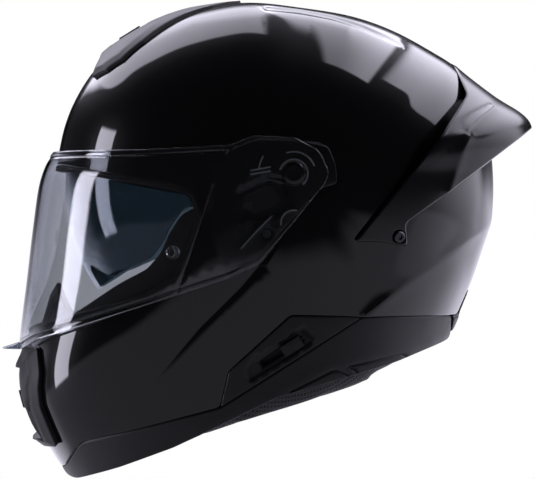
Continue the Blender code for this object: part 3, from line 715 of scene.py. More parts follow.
def foam():
    material, tree, shader = new_material("foam", (0.03, 0.03, 0.032), 0.85)
    place = tree.nodes.new("ShaderNodeTexCoord")
    beads = tree.nodes.new("ShaderNodeTexVoronoi")
    beads.inputs["Scale"].default_value = 320.0
    tree.links.new(place.outputs["Object"], beads.inputs["Vector"])
    bump(tree, shader, beads.outputs["Distance"], 0.5, 0.0006)
    return material


def dots(tree, pitch):
    """Distance to the nearest of a grid of dots over the weave map, in pitches."""
    place = tree.nodes.new("ShaderNodeUVMap")
    place.uv_map = "weave"
    cells = tree.nodes.new("ShaderNodeTexVoronoi")
    cells.voronoi_dimensions = "2D"
    cells.inputs["Randomness"].default_value = 0.0
    cells.inputs["Scale"].default_value = 1.0 / pitch
    tree.links.new(place.outputs["UV"], cells.inputs["Vector"])
    return cells.outputs["Distance"]


def fabric():
    """Dark knitted cloth with a grid of fine holes."""
    material, tree, shader = new_material("fabric", (0.05, 0.05, 0.056), 0.9, Sheen_Weight=0.5)
    holes = vary(tree, dots(tree, 0.0019), 0.0, 1.0)
    holes.node.inputs["From Min"].default_value = 0.2
    holes.node.inputs["From Max"].default_value = 0.32
    colour = tree.nodes.new("ShaderNodeMix")
    colour.data_type = "RGBA"
    colour.inputs[6].default_value = (0.004, 0.004, 0.005, 1)
    colour.inputs[7].default_value = (0.055, 0.053, 0.06, 1)
    tree.links.new(holes, colour.inputs[0])
    tree.links.new(colour.outputs[2], shader.inputs["Base Color"])
    knit = tree.nodes.new("ShaderNodeMath")
    knit.operation = "MULTIPLY_ADD"
    tree.links.new(object_noise(tree, 1500.0), knit.inputs[0])
    knit.inputs[1].default_value = 0.4
    tree.links.new(holes, knit.inputs[2])
    bump(tree, shader, knit.outputs[0], 0.6, 0.0006)
    return material


def webbing():
    material, tree, shader = new_material("webbing", (0.02, 0.02, 0.022), 0.85, Sheen_Weight=0.3)
    bump(tree, shader, object_noise(tree, 1200.0), 0.6, 0.0004)
    return material


SOFT_GLOSS = {"Specular_IOR_Level": 0.5}
CLEAR = {"Transmission_Weight": 1.0, "IOR": 1.5}
PLAIN_LOOKS = {
    # Painted highlight: a lighter grey for the tops of the moulded ribs, standing in for the thin bright lines of
    # light along them.
    "rib_highlight_grey": ((0.22, 0.22, 0.24), 500.0, 0.35, 0.5, SOFT_GLOSS),
    # The dark grey of the vent cover's fine-grained plastic.
    "vent_grey": ((0.075, 0.075, 0.08), 80.0, 0.38, 0.5,
                  {"Specular_IOR_Level": 0.4, "grain": (1500.0, 4.0, 0.3)}),
    # The frosted blue of a cut polycarbonate edge.
    "visor_edge": ((0.52, 0.60, 0.74), 300.0, 0.2, 0.35, {"Transmission_Weight": 0.7, "IOR": 1.5}),
    "wing_black": ((0.004, 0.004, 0.005), 700.0, 0.17, 0.22, SOFT_GLOSS),
    "plate_black": ((0.004, 0.004, 0.0045), 300.0, 0.22, 0.26, SOFT_GLOSS),
    "gloss_black": ((0.003, 0.003, 0.0035), 900.0, 0.25, 0.35,
                    {"Coat_Weight": 1.0, "Coat_Roughness": 0.008, "Coat_IOR": 1.5,
                     "Specular_IOR_Level": 0.05, "detail": 2.0}),
    "matte_black": ((0.012, 0.012, 0.014), 60.0, 0.4, 0.55,
                    {"Specular_IOR_Level": 0.35, "grain": (1500.0, 4.0, 0.35)}),
    "rubber": ((0.012, 0.012, 0.012), 80.0, 0.6, 0.8, {"grain": (900.0, 3.0, 0.2)}),
    "clear_visor": ((0.80, 0.82, 0.86), 40.0, 0.0, 0.015, CLEAR),
    "smoke_visor": ((0.14, 0.205, 0.24), 40.0, 0.0, 0.02, CLEAR),
    "steel": ((0.5, 0.5, 0.52), 500.0, 0.24, 0.39, {"metallic": 1.0}),
    "dark_screw": ((0.08, 0.08, 0.09), 500.0, 0.28, 0.455, {"metallic": 1.0}),
}
FINISHES = {name: plain(name, *look) for name, look in PLAIN_LOOKS.items()}
FINISHES.update(foam=foam(), fabric=fabric(), webbing=webbing())
SLOTS = {"wing_black": "gloss_black", "plate_black": "matte_black", "vent_grey": "matte_black"}
NODE_SLOTS = {part["node"]: part["material_slot"] for part in frame["record"]["subparts"]}


def dress(obj, finish, *nodes, body="helmet", slot=None):
    """Gives a piece its material, its body and the CAD nodes that it stands for."""
    obj.data.materials.clear()
    obj.data.materials.append(FINISHES[finish])
    slot = slot or SLOTS.get(finish, finish)
    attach(obj, body)
    if nodes:
        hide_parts(*nodes)
    return obj


def dress_cad_nodes():
    for node, obj in frame["nodes"].items():
        obj.data.materials.clear()
        obj.data.materials.append(FINISHES[NODE_SLOTS[node]])


# ---------------------------------------------------------------- small parts

def refined(node, finish, width=0.4, body="helmet", slot=None):
    """A CAD piece with its edges rounded off."""
    source = frame["nodes"][node]
    copy = source.copy()
    copy.data = source.data.copy()
    copy.name = node + "_fine"
    copy.parent = None
    copy.matrix_world = source.matrix_world.copy()
    link(copy)
    for key in list(copy.keys()):
        del copy[key]
    round_off = copy.modifiers.new("round", "BEVEL")
    round_off.width = width * MM
    round_off.segments = 2
    round_off.limit_method = "ANGLE"
    round_off.angle_limit = math.radians(38)
    round_off.harden_normals = True
    copy.data.shade_smooth()
    return dress(copy, finish, node, body=body, slot=slot)


def tube(count, rings):
    """The faces between rings of count points each."""
    faces = []
    for ring in range(rings - 1):
        for index in range(count):
            following = (index + 1) % count
            a, b = ring * count, (ring + 1) * count
            faces.append((a + index, a + following, b + following, b + index))
    return faces


def solid(name, points, faces, sharp):
    """A mesh of upright-frame points that faces outwards, smooth where it bends by less than sharp."""
    mesh = bpy.data.meshes.new(name)
    world = upright(points)
    mesh.from_pydata(world.tolist(), [], faces)
    if mesh_volume(world, faces) < 0:
        mesh.flip_normals()
    mesh.shade_smooth()
    mesh.set_sharp_from_angle(angle=math.radians(sharp))
    return link(bpy.data.objects.new(name, mesh))


def turned(name, rings, place, normal, segments=32):
    """A solid of rings (height, radius, sides) along a normal; sides 6 makes a hexagon ring."""
    turn = Vector(normal).to_track_quat("Z", "Y").to_matrix()
    points = []
    for height, radius, sides in rings:
        for index in range(segments):
            angle = 2 * math.pi * index / segments
            reach = radius
            if sides:
                reach = radius * math.cos(math.pi / sides)
                reach /= math.cos((angle % (2 * math.pi / sides)) - math.pi / sides)
            points.append(tuple(Vector(place) + turn @ Vector(
                (reach * math.cos(angle), reach * math.sin(angle), height))))
    faces = tube(segments, len(rings))
    faces.append(tuple(reversed(range(segments))))
    faces.append(tuple(range((len(rings) - 1) * segments, len(rings) * segments)))
    return solid(name, points, faces, 35)


def make_screws():
    """Dark countersunk screws with a hexagon socket."""
    socket = 1.5
    for side, word in SIDES:
        for label, place in (("front", LEVER_PIVOT), ("rear", PLATE_SCREW)):
            point, normal = surface_frame(SHELL, *place, 0.0, side)
            rings = ((-1.8, 1.6, 0), (-0.45, 1.6, 0), (-0.44, 2.8, 0), (0.1, 3.0, 0), (0.4, 2.7, 0),
                     (0.4, socket, 6), (-0.7, socket, 6))
            screw = turned("plate_screw_" + label + "_" + word, rings, point, normal)
            dress(screw, "dark_screw", "base_plate_screw_" + label + "_" + word)
        point, normal = surface_frame(SPOILER, *SPOILER_SCREW, 0.0, side)
        rings = ((-5.4, 1.8, 0), (-2.2, 1.8, 0), (-2.19, 3.3, 0), (-1.9, 3.6, 0), (-0.6, 3.6, 0),
                 (0.05, 3.0, 0), (0.05, 1.9, 6), (-1.4, 1.8, 6))
        screw = turned("wing_screw_" + word, rings, point, normal)
        dress(screw, "dark_screw", "spoiler_screw_" + word, slot="steel")
        point, normal = surface_frame(VISOR, *PIN_PLACE, 0.0, side)
        flange = -VISOR_WALL - 2 * GAP
        rings = ((flange - 1.4, 4.2, 0), (flange - 1.2, 4.6, 0), (flange - 0.2, 4.6, 0), (flange, 4.3, 0),
                 (flange + 0.1, 2.6, 0), (0.1, 2.6, 0), (0.4, 2.3, 0), (0.4, 1.2, 6), (-0.5, 1.1, 6))
        pin = turned("insert_pin_" + word + "_fine", rings, point, normal)
        dress(pin, "clear_visor", "insert_pin_" + word, body="visor_group", slot="clear_visor")


# ---------------------------------------------------------------- shell and trims

def make_outer_shell():
    outline = list(CHIN_SEAM) + list(PANEL_TOP) + list(REAR_SEAM) + [(REACH, REACH), (-REACH, REACH)]
    plate = rounded(grow(BASE_PLATE, 0.5))
    region = Region([grow(outline, -GAP / 2)], [grow(EYEPORT, 3.6)])

    def relief(y, z):
        y, z = np.asarray(y), np.asarray(z)
        step = smooth_step(depth_inside(plate, y, z) / 0.6)
        shape = -PLATE_DEPTH * step
        shape = shape - 1.6 * smooth_step((depth_inside(VENT_OUTLINE, y, z) - 2.5) / 4.0)
        shape = shape - 0.4 * crease(CHIN_CREASE, y, z, 3.5)
        shape = shape + 1.1 * crease(REAR_CREASE, y, z, 5)
        fade = smooth_step((78 - y) / 30)
        shape = shape - 1.1 * fade * groove(REAR_GROOVE, y, z, 1.5)
        return shape + 0.9 * crease(CROWN_RIDGE, y, z, 8)

    lines = step_lines(plate, 0.6)
    for line in (CHIN_CREASE, REAR_CREASE, CROWN_RIDGE):
        lines += guides(line, 3.6, 1.5)
    lines += guides(REAR_GROOVE, 2.6, 1.3)
    shell = panel("shell_skin", SHELL, region, 0.0, -SHELL_WALL, relief, lines, spacing=1.3)
    dress(shell, "gloss_black", "outer_shell")


def make_lower_trim():
    outline = list(CHIN_SEAM) + [REAR_SEAM[0], (104, -91), (104, -106.5)] + list(BASE_EDGE[5:])
    region = Region([grow(outline, -GAP / 2)])

    def relief(y, z):
        shape = 0.9 * crease(TRIM_FOLD, y, z, 5) - 0.9
        for patch in TRIM_PATCHES:
            shape = shape - 1.5 * groove(patch, y, z, 0.6)
        return shape

    lines = [TRIM_FOLD]
    for patch in TRIM_PATCHES:
        lines += guides(patch, 1.2, 0.6)
    trim = panel("trim_skin", SHELL, region, 0.6, -SHELL_WALL - 0.2, relief, lines, spacing=1.3, edge=1.2,
                 drop=0.8)
    dress(trim, "matte_black", "lower_trim")


def make_extractor():
    outline = [(104, -91), REAR_SEAM[1], REAR_SEAM[2], REAR_SEAM[3]] + list(BASE_EDGE[:5])
    region = Region([grow(outline, -GAP / 2)], corner=1.5)

    def relief(y, z):
        return -0.9 * groove(((108, -98), (118, -88), (160, -82)), y, z, 1.2)

    tip = panel("extractor_skin", SHELL, region, 1.4, -SHELL_WALL, relief, spacing=1.2, edge=1.1, drop=0.8)
    dress(tip, "matte_black", "rear_extractor")


def make_side_panels():
    outline = [CHIN_SEAM[-1]] + list(PANEL_TOP) + [REAR_SEAM[0]]
    recess = rounded(grow(SLIDER_RECESS, -1.0), 2.0)
    slot = slot_outline(-SLIDER_TRAVEL - 4.6, 4.6, 4.0)

    def relief(y, z):
        return -2.3 * smooth_step(depth_inside(recess, y, z) / 0.4)

    lines = step_lines(recess, 0.5)
    for side, word in SIDES:
        region = Region([grow(outline, -GAP / 2)], crisp=[dense(slot, 0.8)] if side > 0 else [], corner=2.0)
        skin = panel("side_panel_skin_" + word, SHELL, region, 0.5, -SHELL_WALL, relief, lines, spacing=0.9,
                     edge=0.8, drop=0.6, sides=(side,))
        dress(skin, "matte_black", "side_panel_" + word)


def make_gasket():
    region = Region([grow(EYEPORT, 3.2)], [EYEPORT])

    def relief(y, z):
        depth = -depth_inside(EYEPORT, y, z)
        return -0.9 * np.exp(-((depth - 1.7) / 0.5) ** 2)

    middle = rounded(grow(EYEPORT, 1.7))
    seal = panel("gasket_seal", SHELL, region, 0.6, -5.4, relief, [closed(middle)], edge=0.8, drop=0.7)
    dress(seal, "rubber", "eyeport_gasket")


def make_visor():
    beads = [rounded(grow(VISOR_OUTLINE, -inset)) for inset in (2.2, 2.9, 3.6, 4.3, 5.0)]
    region = Region([VISOR_OUTLINE], [circle((0, 0), 7.4), circle(PIN_PLACE, 3.0)])

    def relief(y, z):
        ring = np.abs(depth_inside(VISOR_OUTLINE, y, z) - 3.6)
        shape = -0.4 * np.exp(-(ring / 0.7) ** 2) * smooth_step((-32 - np.asarray(y)) / 20)
        return shape - 0.3 * groove(VISOR_STEP, y, z, 0.7)

    lines = [closed(bead) for bead in beads] + guides(VISOR_STEP, 1.2, 0.6)
    lens = panel("visor_lens", VISOR, region, 0.0, -VISOR_WALL, relief, lines, edge=0.7, drop=0.4,
                 spacing=1.5, rim="visor_edge")
    dress(lens, "clear_visor", "visor", body="visor_group")
    lens.data.materials.append(FINISHES["visor_edge"])
    make_visor_tab()


def make_visor_tab():
    """The finger tab that stands proud of the visor's lower edge."""
    profile = ((-177.3, -107.8), (-181, -109.2), (-186, -110.9), (-190.6, -112.2), (-191.2, -112.8),
               (-190.6, -113.3), (-185, -113.4), (-177.3, -113.1))
    points = []
    columns = 24
    count = len(profile)
    root = -178.6
    for column in range(columns + 1):
        t = 2.0 * column / columns - 1
        x = 17.0 * t
        taper = (1 - abs(t) ** 4) ** 0.5
        for y, z in profile:
            points.append((x, root + (y - root) * taper if y < root else y, z))
    faces = tube(count, columns + 1)
    faces.append(tuple(range(count)))
    faces.append(tuple(reversed(range(columns * count, (columns + 1) * count))))
    tab = solid("visor_tab", points, faces, 40)
    tab.data.materials.append(FINISHES["visor_edge"])
    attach(tab, "visor_group")


def make_sun_visor():
    region = Region([SUN_OUTLINE], [circle(SUN_PIVOT, 3.9)])
    lens = panel("sun_visor_lens", SUN, region, 0.0, -SUN_WALL, edge=0.5, drop=0.3)
    dress(lens, "smoke_visor", "sun_visor", body="sun_visor")


def arc(centre, radius, start, stop, steps=24):
    """Points along a circle from start to stop degrees."""
    turns = [math.radians(start + (stop - start) * step / steps) for step in range(steps + 1)]
    return [(centre[0] + radius * math.cos(turn), centre[1] + radius * math.sin(turn)) for turn in turns]


def make_base_plates():
    pocket = rounded(LEVER_POCKET, 2.0)
    ribs = (arc((0, 0), 8.8, -50, 165), arc((0, 0), 13.6, 20, 110), arc((0, -31), 8.0, 75, 190),
            [(-33, -47), (-24, -37), (-14, -27)], [(-27, -0.6), (-14.5, 1.6)], [(-27, 1.8), (-14.5, 4.0)],
            arc((0, 0), 22.0, 150, 172), arc((-2, -14), 12.5, -70, -15))

    def relief(y, z):
        shape = -1.5 * smooth_step(depth_inside(pocket, y, z) / 0.5)
        for rib in ribs:
            shape = shape + 0.5 * groove(rib, y, z, 0.42)
        return np.minimum(shape, 0.5)

    lines = step_lines(pocket, 0.5)
    for rib in ribs:
        lines += guides(rib, 0.9, 0.45)
    for side, word in SIDES:
        holes = [circle(LEVER_PIVOT, 3.5, 40), circle(PLATE_SCREW, 3.5, 40), circle((0, 0), 7.2, 48)]
        plate = panel("mechanism_" + word, SHELL, Region([grow(BASE_PLATE, 0.8)], holes), 0.6,
                      GAP - PLATE_DEPTH, relief, lines, spacing=0.6, edge=0.5, drop=0.4, sides=(side,))
        dress(plate, "plate_black", "visor_base_plate_" + word)
        # Painted highlight: rib faces that turn outwards get the lighter grey material, standing in for bright
        # lines of light along the rib tops.
        plate.data.materials.append(FINISHES["rib_highlight_grey"])
        faces = plate.data.polygons
        middles = np.array([face.center for face in faces]) - np.array(UPRIGHT.translation)
        x, y, z = (middles @ np.array(UPRIGHT.to_3x3()) / MM).T
        lit_rib_faces = np.minimum.reduce([distance_to_line(rib, y, z) for rib in ribs]) < 0.4
        lit_rib_faces &= np.array([face.normal.x * side > 0.3 for face in faces])
        index = np.array([face.material_index for face in faces])
        faces.foreach_set("material_index", np.where(lit_rib_faces, len(plate.data.materials) - 1, index))
        top = HALF_WIDTH + VISOR_CLEARANCE + VISOR_WALL - HUB_PLACE
        rings = ((HALF_WIDTH - 1.5 - HUB_PLACE, 7.0, 0), (top - 0.6, 7.0, 0), (top - 0.2, 6.7, 0),
                 (top, 6.2, 0), (top, 4.4, 0), (top - 1.2, 4.2, 0), (top - 1.2, 2.4, 6), (top - 2.0, 2.4, 6))
        hub = turned("pivot_hub_" + word, rings, (side * HUB_PLACE, 0, 0), (side, 0, 0), 48)
        hub.data.materials.append(FINISHES["plate_black"])
        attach(hub, "helmet")


# ---------------------------------------------------------------- vents and spoiler

def make_top_vent():
    outline = from_above(SHELL, TOP_VENT)
    slot = from_above(SHELL, TOP_SLOT)
    region = Region([outline], crisp=[dense(slot, 0.8)], corner=1.5)

    def relief(y, z):
        depth = depth_inside(outline, y, z)
        shape = -1.4 + 1.4 * smooth_step(depth / 3.0)
        tail = smooth_step((np.asarray(y) + 96) / 60)
        return shape * (1 - 0.4 * tail) - 1.6 * tail

    cover = panel("top_vent_skin", SHELL, region, 4.8, 0.4, relief, spacing=0.8, edge=0.7, drop=0.5)
    dress(cover, "vent_grey", "top_vent_cover")
    refined("top_vent_slider", "matte_black", 1.6, body="top_vent_slider")


def make_chin_vent():
    window_belt = belt(shifted(SHELL, VENT_RISE), 36.0)
    housing = Region([VENT_OUTLINE], windows=[(VENT_WINDOW, window_belt)], corner=2.0)

    def relief(y, z):
        depth = depth_inside(VENT_OUTLINE, y, z)
        shape = -5.0 + 5.0 * smooth_step(depth / 12.0)
        return shape - 0.8 * np.exp(-(np.abs(depth - 5.5) / 0.8) ** 2)

    frame_piece = panel("chin_vent_skin", SHELL, housing, VENT_RISE, 0.4, relief, spacing=0.8, edge=0.8,
                        drop=0.6, datum=VENT_RISE)
    dress(frame_piece, "matte_black", "chin_vent_housing")

    grid_surface = shifted(SHELL, GRID_RISE)
    cells = []
    for row in range(22):
        z = GRID_TOP - row * CELL_PITCH * 0.78
        for column in range(9):
            x = (column + 0.5 * (row % 2)) * CELL_PITCH
            if not 1.0 < x < 33.5:
                continue
            turns = [math.pi / 6 + corner * math.pi / 3 for corner in range(6)]
            loop = [front_place(grid_surface, x + 1.7 * math.cos(turn), z + 1.6 * math.sin(turn))
                    for turn in turns]
            heights = [place[1] for place in loop]
            if min(heights) > GRID_BASE and max(heights) < GRID_TOP:
                cells.append(loop)
    grid_region = Region([grow(VENT_WINDOW, -0.5)], [belt(grid_surface, 35.4)], crisp=cells, corner=2.0)
    mesh = panel("chin_vent_grid", SHELL, grid_region, GRID_RISE, 0.8, spacing=1.2, edge=0.0,
                 datum=GRID_RISE)
    dress(mesh, "dark_screw", "chin_vent_mesh", slot="matte_black")
    refined("chin_vent_slider", "matte_black", 0.6, body="chin_vent_slider")


def front_place(surface, x, z):
    """The side-view place of a front point at x from the midplane and height z."""
    lean = math.acos(min(1.0, (abs(x) / surface.half_width) ** (SIDE_POWER / 2)))
    scale = math.sin(lean) ** (2 / CROWN_POWER)
    turn = last_turn(180, 250, lambda a: float(surface.radius(a)) * scale * math.sin(a) > z)
    radius = float(surface.radius(turn)) * scale
    return radius * math.cos(turn), radius * math.sin(turn)


def make_spoiler():
    region = Region([SPOILER_OUTLINE], [circle(SPOILER_SCREW, 4.0)])

    def relief(y, z):
        shape = 1.2 * np.maximum(crease(WING_FOLD, y, z, 4), crease(WING_RIDGE, y, z, 3))
        return shape - 0.8

    lines = guides(WING_FOLD, 1.5) + guides(WING_RIDGE, 1.5)
    wing = panel("spoiler_wing", SPOILER, region, 0.0, 0.5, relief, lines, edge=1.2, drop=0.7,
                 spacing=1.2, inner_surface=SHELL)
    dress(wing, "wing_black", "rear_spoiler")


# ---------------------------------------------------------------- linings

def make_breath_guard():
    """The nose deflector: a ribbed rubber wall."""
    refined("breath_guard", "rubber", 0.5)


def make_chin_lining():
    """The lip of the chin bar's lining, which shows above the eyeport's lower edge."""
    outline = ((-152, -97), (-130, -82.5), (-112, -70.5), (-93, -60.5), (-84, -50), (-79, -38), (-71, -26),
               (-58, -19), (-55, -27), (-63, -55), (-70, -74), (-94, -85), (-113, -91), (-152, -103))
    lip = panel("chin_lining", SHELL, Region([outline]), -6.0, -9.0, edge=1.0, drop=0.8, datum=-6.0)
    dress(lip, "rubber")


def applied(obj):
    """The mesh that the object's modifiers make of it; the modifiers go."""
    graph = bpy.context.evaluated_depsgraph_get()
    mesh = bpy.data.meshes.new_from_object(obj.evaluated_get(graph))
    obj.modifiers.clear()
    return mesh


def coordinates(mesh):
    flat = np.empty(len(mesh.vertices) * 3)
    mesh.vertices.foreach_get("co", flat)
    return flat.reshape(-1, 3)


def inflate(obj, motion, size=0.005):
    """Puffs a pad as cloth from inside, and keeps every point within motion mm of where it was."""
    remesh = obj.modifiers.new("even", "REMESH")
    remesh.mode = "VOXEL"
    remesh.voxel_size = size
    mesh = obj.data = applied(obj)
    start = coordinates(mesh)
    cloth = obj.modifiers.new("cloth", "CLOTH")
    cloth.settings.use_pressure = True
    cloth.settings.uniform_pressure_force = 4.0
    cloth.settings.effector_weights.gravity = 0.0
    cloth.settings.tension_stiffness = 8.0
    cloth.settings.bending_stiffness = 0.6
    cloth.point_cache.frame_start = 1
    cloth.point_cache.frame_end = PUFF_FRAMES
    scene = bpy.context.scene
    for step in range(1, PUFF_FRAMES + 1):
        scene.frame_set(step)
    puffed = applied(obj)
    scene.frame_set(1)
    shift = coordinates(puffed) - start
    length = np.linalg.norm(shift, axis=1, keepdims=True)
    shift *= np.minimum(1.0, motion * MM / np.maximum(length, 1e-9))
    mesh.vertices.foreach_set("co", (start + shift).ravel())
    settle = obj.modifiers.new("settle", "SMOOTH")
    settle.factor = 0.5
    settle.iterations = 4
    round_off = obj.modifiers.new("round", "SUBSURF")
    round_off.levels = round_off.render_levels = 1
    obj.data = applied(obj)
    obj.data.shade_smooth()


def map_weave(obj):
    """Lays the cloth's pattern over a pad by its place on the helmet."""
    mesh = obj.data
    for layer in list(mesh.uv_layers):
        mesh.uv_layers.remove(layer)
    weave = mesh.uv_layers.new(name="weave")
    back = UPRIGHT.inverted()
    places = []
    for vertex in mesh.vertices:
        x, y, z = (back @ vertex.co) / MM
        turn = math.atan2(z, y)
        lean = math.atan2(math.hypot(y, z), x)
        places.append((turn * 0.13, lean * 0.13))
    for loop in mesh.loops:
        weave.data[loop.index].uv = places[loop.vertex_index]


def pad(name, node, region, outer, inner, motion, relief=None, sides=(1, -1), edge=4.0, drop=3.0):
    """A stuffed cloth pad in place of a CAD one."""
    obj = panel(name, SHELL, region, outer, inner, relief, edge=edge, drop=drop, spacing=2.0, datum=outer,
                sides=sides)
    inflate(obj, motion)
    map_weave(obj)
    dress(obj, "fabric", node)


def make_linings():
    """The comfort pads: crown, cheeks and neck roll."""
    pad("neck_roll_pad", "neck_roll", Region([NECK_ROLL]), -7.0, ROLL_INSIDE + 1.0, 3.0, edge=3.0, drop=2.0)
    crown_inside = LINER_INSIDE - 0.5
    quilt = [((-110, 20), (-60, 70), (0, 92), (60, 70), (98, 0)), ((-60, 14), (-20, 52), (30, 50), (60, 0))]

    def quilted(y, z):
        return -2.5 * sum(groove(line, y, z, 3.0) for line in quilt)

    pad("crown_lining", "crown_pad", Region([CROWN_PAD]), crown_inside - 1.0,
        crown_inside - PAD_THICKNESS, 3.0, quilted)
    cheek = LINER_INSIDE - STRAP_GAP - 1.0
    for side, word in SIDES:
        pad("cheek_cushion_" + word, "cheek_pad_" + word, Region([CHEEK_PAD]), cheek,
            cheek - CHEEK_THICKNESS + 2.0, 5.0, sides=(side,), edge=8.0, drop=5.0)


def make_pieces():
    for make in (make_outer_shell, make_lower_trim, make_extractor, make_side_panels, make_gasket,
                 make_visor, make_sun_visor, make_base_plates, make_screws, make_top_vent,
                 make_chin_vent, make_spoiler, make_breath_guard, make_chin_lining, make_linings):
        make()
    refined("sun_visor_slider", "matte_black", 0.5, body="sun_visor_slider")
    for _, word in SIDES:
        refined("visor_release_lever_" + word, "matte_black", 0.3, body="visor_release_lever_" + word)
        refined("strap_anchor_" + word, "steel", 0.3)
        refined("chin_strap_" + word, "webbing", 0.5)
    refined("buckle_body", "steel", 0.5)
    refined("buckle_tongue", "matte_black", 0.3)
    refined("buckle_lever", "steel", 0.5, body="buckle_lever")


# ---------------------------------------------------------------- stage

class Studio:
    """The studio's light as a function of direction in the upright frame, built in the world."""

    def __init__(self, tree):
        self.tree = tree
        place = tree.nodes.new("ShaderNodeTexCoord")
        turn = tree.nodes.new("ShaderNodeVectorRotate")
        turn.rotation_type = "X_AXIS"
        turn.inputs["Angle"].default_value = TILT
        tree.links.new(place.outputs["Generated"], turn.inputs["Vector"])
        split = tree.nodes.new("ShaderNodeSeparateXYZ")
        tree.links.new(turn.outputs["Vector"], split.inputs["Vector"])
        self.axes = split.outputs

    def sum(self, weights, constant=0.0):
        """A weighted sum of the direction's x, y and z."""
        total = constant
        for axis, weight in weights.items():
            step = self.tree.nodes.new("ShaderNodeMath")
            step.operation = "MULTIPLY_ADD"
            self.tree.links.new(self.axes[axis], step.inputs[0])
            step.inputs[1].default_value = weight
            self.feed(total, step.inputs[2])
            total = step.outputs[0]
        return total

    def feed(self, value, socket):
        if isinstance(value, (int, float)):
            socket.default_value = value
        else:
            self.tree.links.new(value, socket)

    def ramp(self, value, low, high, start=0.0, stop=1.0):
        """A smooth change from start to stop as value goes from low to high."""
        node = self.tree.nodes.new("ShaderNodeMapRange")
        node.interpolation_type = "SMOOTHSTEP"
        self.feed(value, node.inputs["Value"])
        for name, number in (("From Min", low), ("From Max", high), ("To Min", start), ("To Max", stop)):
            node.inputs[name].default_value = number
        return node.outputs["Result"]

    def combine(self, operation, first, second):
        node = self.tree.nodes.new("ShaderNodeMath")
        node.operation = operation
        self.feed(first, node.inputs[0])
        self.feed(second, node.inputs[1])
        return node.outputs[0]

    def product(self, *values):
        total = values[0]
        for value in values[1:]:
            total = self.combine("MULTIPLY", total, value)
        return total

    def band(self, value, low, high, soft=0.02):
        """1 between low and high, with soft ends."""
        return self.product(self.ramp(value, low - soft, low + soft),
                            self.ramp(value, high + soft, high - soft))


def studio_light(studio):
    """The light over all directions: softboxes above, behind and ahead, and the table below."""
    x, y, z = studio.axes
    ramp, band, product, weigh = studio.ramp, studio.band, studio.product, studio.sum

    joined = studio.combine
    above = joined("MAXIMUM", z, 0.01)
    ahead = joined("DIVIDE", x, joined("MAXIMUM", weigh({"Y": -1.0}), 0.01))
    above_x = joined("DIVIDE", x, above)
    above_y = joined("DIVIDE", y, above)
    front_edge = joined("SUBTRACT", above_y, joined("MULTIPLY", above_x, 0.089))
    low_edge = joined("SUBTRACT", above_x, joined("MULTIPLY", above_y, 0.52))
    front_low = joined("ADD", x, ramp(z, 0.64, 0.2, 0.0, 0.6))
    backdrop = product(
        ramp(front_low, -0.27, -0.32), ramp(z, 0.2, 0.26), ramp(y, 0.06, 0.02),
        ramp(weigh({"Y": -1.0}), 0.0, 0.85, 2.2, 3.6))
    rear_top = product(
        ramp(front_edge, 0.18, 0.22), ramp(above_y, 0.54, 0.51), ramp(low_edge, 0.0, -0.05),
        ramp(z, 0.2, 0.3), ramp(above_y, 0.25, 0.5, 2.2, 4.1))
    hump_edge = joined("SUBTRACT", x, product(ramp(z, 0.24, 0.56, 0.0, 0.21), ramp(z, 0.88, 0.6)))
    rear = product(
        ramp(z, 0.27, 0.32), ramp(above_y, 0.56, 0.60), ramp(hump_edge, 0.05, 0.0),
        ramp(z, 0.32, 0.45, 2.1, 2.7), ramp(z, 0.4, 0.8, 1.0, 1.45))
    strip = product(band(ahead, -0.22, 0.07, 0.012), ramp(y, -0.2, -0.3), band(z, -0.34, 0.33), 7.2)
    table_edge = joined("ADD", z, joined(
        "ADD", ramp(y, -0.05, -0.7, 0.0, 0.19), ramp(y, 0.0, 0.9, 0.0, 0.12)))
    table = product(ramp(table_edge, -0.08, -0.14), ramp(y, -0.2, 0.8, 0.34, 0.42))
    wake = product(
        ramp(y, 0.62, 0.8), ramp(z, 0.32, 0.27), ramp(z, -0.45, 0.4, 0.6, 2.3),
        ramp(weigh({"X": 1.0, "Z": 1.0}), 0.2, 0.08), ramp(x, 0.6, -0.3, 0.2, 1.0))
    low_rear = product(band(z, -0.5, 0.02, 0.05), ramp(x, -0.3, -0.7), ramp(y, 0.85, 0.6))
    total = 0.022
    for part in (backdrop, rear_top, rear, strip, table, wake, low_rear):
        total = joined("ADD", total, part)
    rim = product(ramp(z, -0.05, 0.1), ramp(x, -0.87, -0.95), -1.0)
    return joined("MULTIPLY", total, joined("ADD", rim, 1.0))


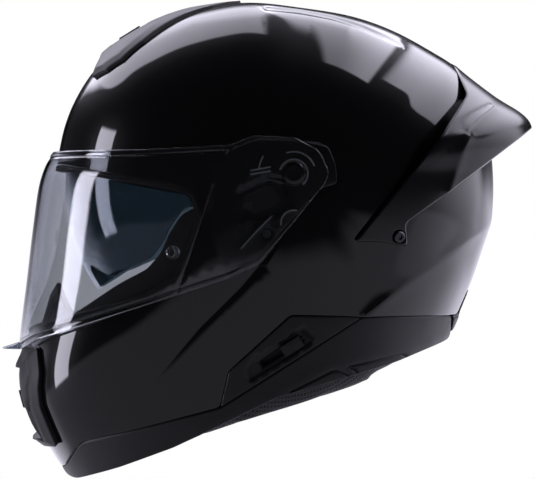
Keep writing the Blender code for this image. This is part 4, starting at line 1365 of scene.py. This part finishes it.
def make_stage():
    half = 6.0
    corners = [(-half, -half, 0), (half, -half, 0), (half, half, 0), (-half, half, 0)]
    mesh = bpy.data.meshes.new("floor")
    mesh.from_pydata(corners, [], [(0, 1, 2, 3)])
    floor = link(bpy.data.objects.new("floor", mesh))
    material, tree, shader = new_material("floor", (0.0, 0.0, 0.0), 1.0, Specular_IOR_Level=0.0,
                                          Emission_Strength=1.0)
    shader.inputs["Emission Color"].default_value = (1, 1, 1, 1)
    mesh.materials.append(material)
    for ray in ("glossy", "diffuse", "transmission", "shadow"):
        setattr(floor, "visible_" + ray, False)
    floor.location.z = -0.0005

    world = bpy.data.worlds.new("studio")
    bpy.context.scene.world = world
    world.use_nodes = True
    tree = world.node_tree
    tree.nodes.clear()
    output = tree.nodes.new("ShaderNodeOutputWorld")
    rays = tree.nodes.new("ShaderNodeLightPath").outputs
    studio = Studio(tree)

    def background(colour, strength):
        node = tree.nodes.new("ShaderNodeBackground")
        node.inputs["Color"].default_value = (*colour, 1)
        studio.feed(strength, node.inputs["Strength"])
        return node

    light = background((0.93, 0.91, 1.06), studio_light(studio))
    straight = studio.product(studio.combine("LESS_THAN", rays["Glossy Depth"], 0.5),
                              rays["Is Transmission Ray"])
    through = background((0.95, 0.95, 1.0), 0.42)
    white = background((1, 1, 1), 1.0)
    for choice, shown in ((straight, through), (rays["Is Camera Ray"], white)):
        mix = tree.nodes.new("ShaderNodeMixShader")
        tree.links.new(choice, mix.inputs["Fac"])
        tree.links.new(light.outputs[0], mix.inputs[1])
        tree.links.new(shown.outputs[0], mix.inputs[2])
        light = mix
    tree.links.new(light.outputs[0], output.inputs["Surface"])
    bpy.context.scene.view_settings.view_transform = "Standard"


VIEW_WIDTH = 535 * 0.66 * MM


def make_camera():
    camera = bpy.data.cameras.new("camera")
    obj = link(bpy.data.objects.new("camera", camera))
    bpy.context.scene.camera = obj
    distance = 2.6
    aim = Vector((0.0, -0.0165, -0.0415))
    camera.sensor_width = 36.0
    camera.lens = camera.sensor_width * distance / VIEW_WIDTH
    place = Vector((distance, 0.0, 0.0)) + aim
    forward = (aim - place).normalized()
    turn = forward.to_track_quat("-Z", "Y").to_matrix().to_4x4()
    obj.matrix_world = UPRIGHT @ Matrix.Translation(place) @ turn


make_camera()
dress_cad_nodes()
make_pieces()
make_stage()
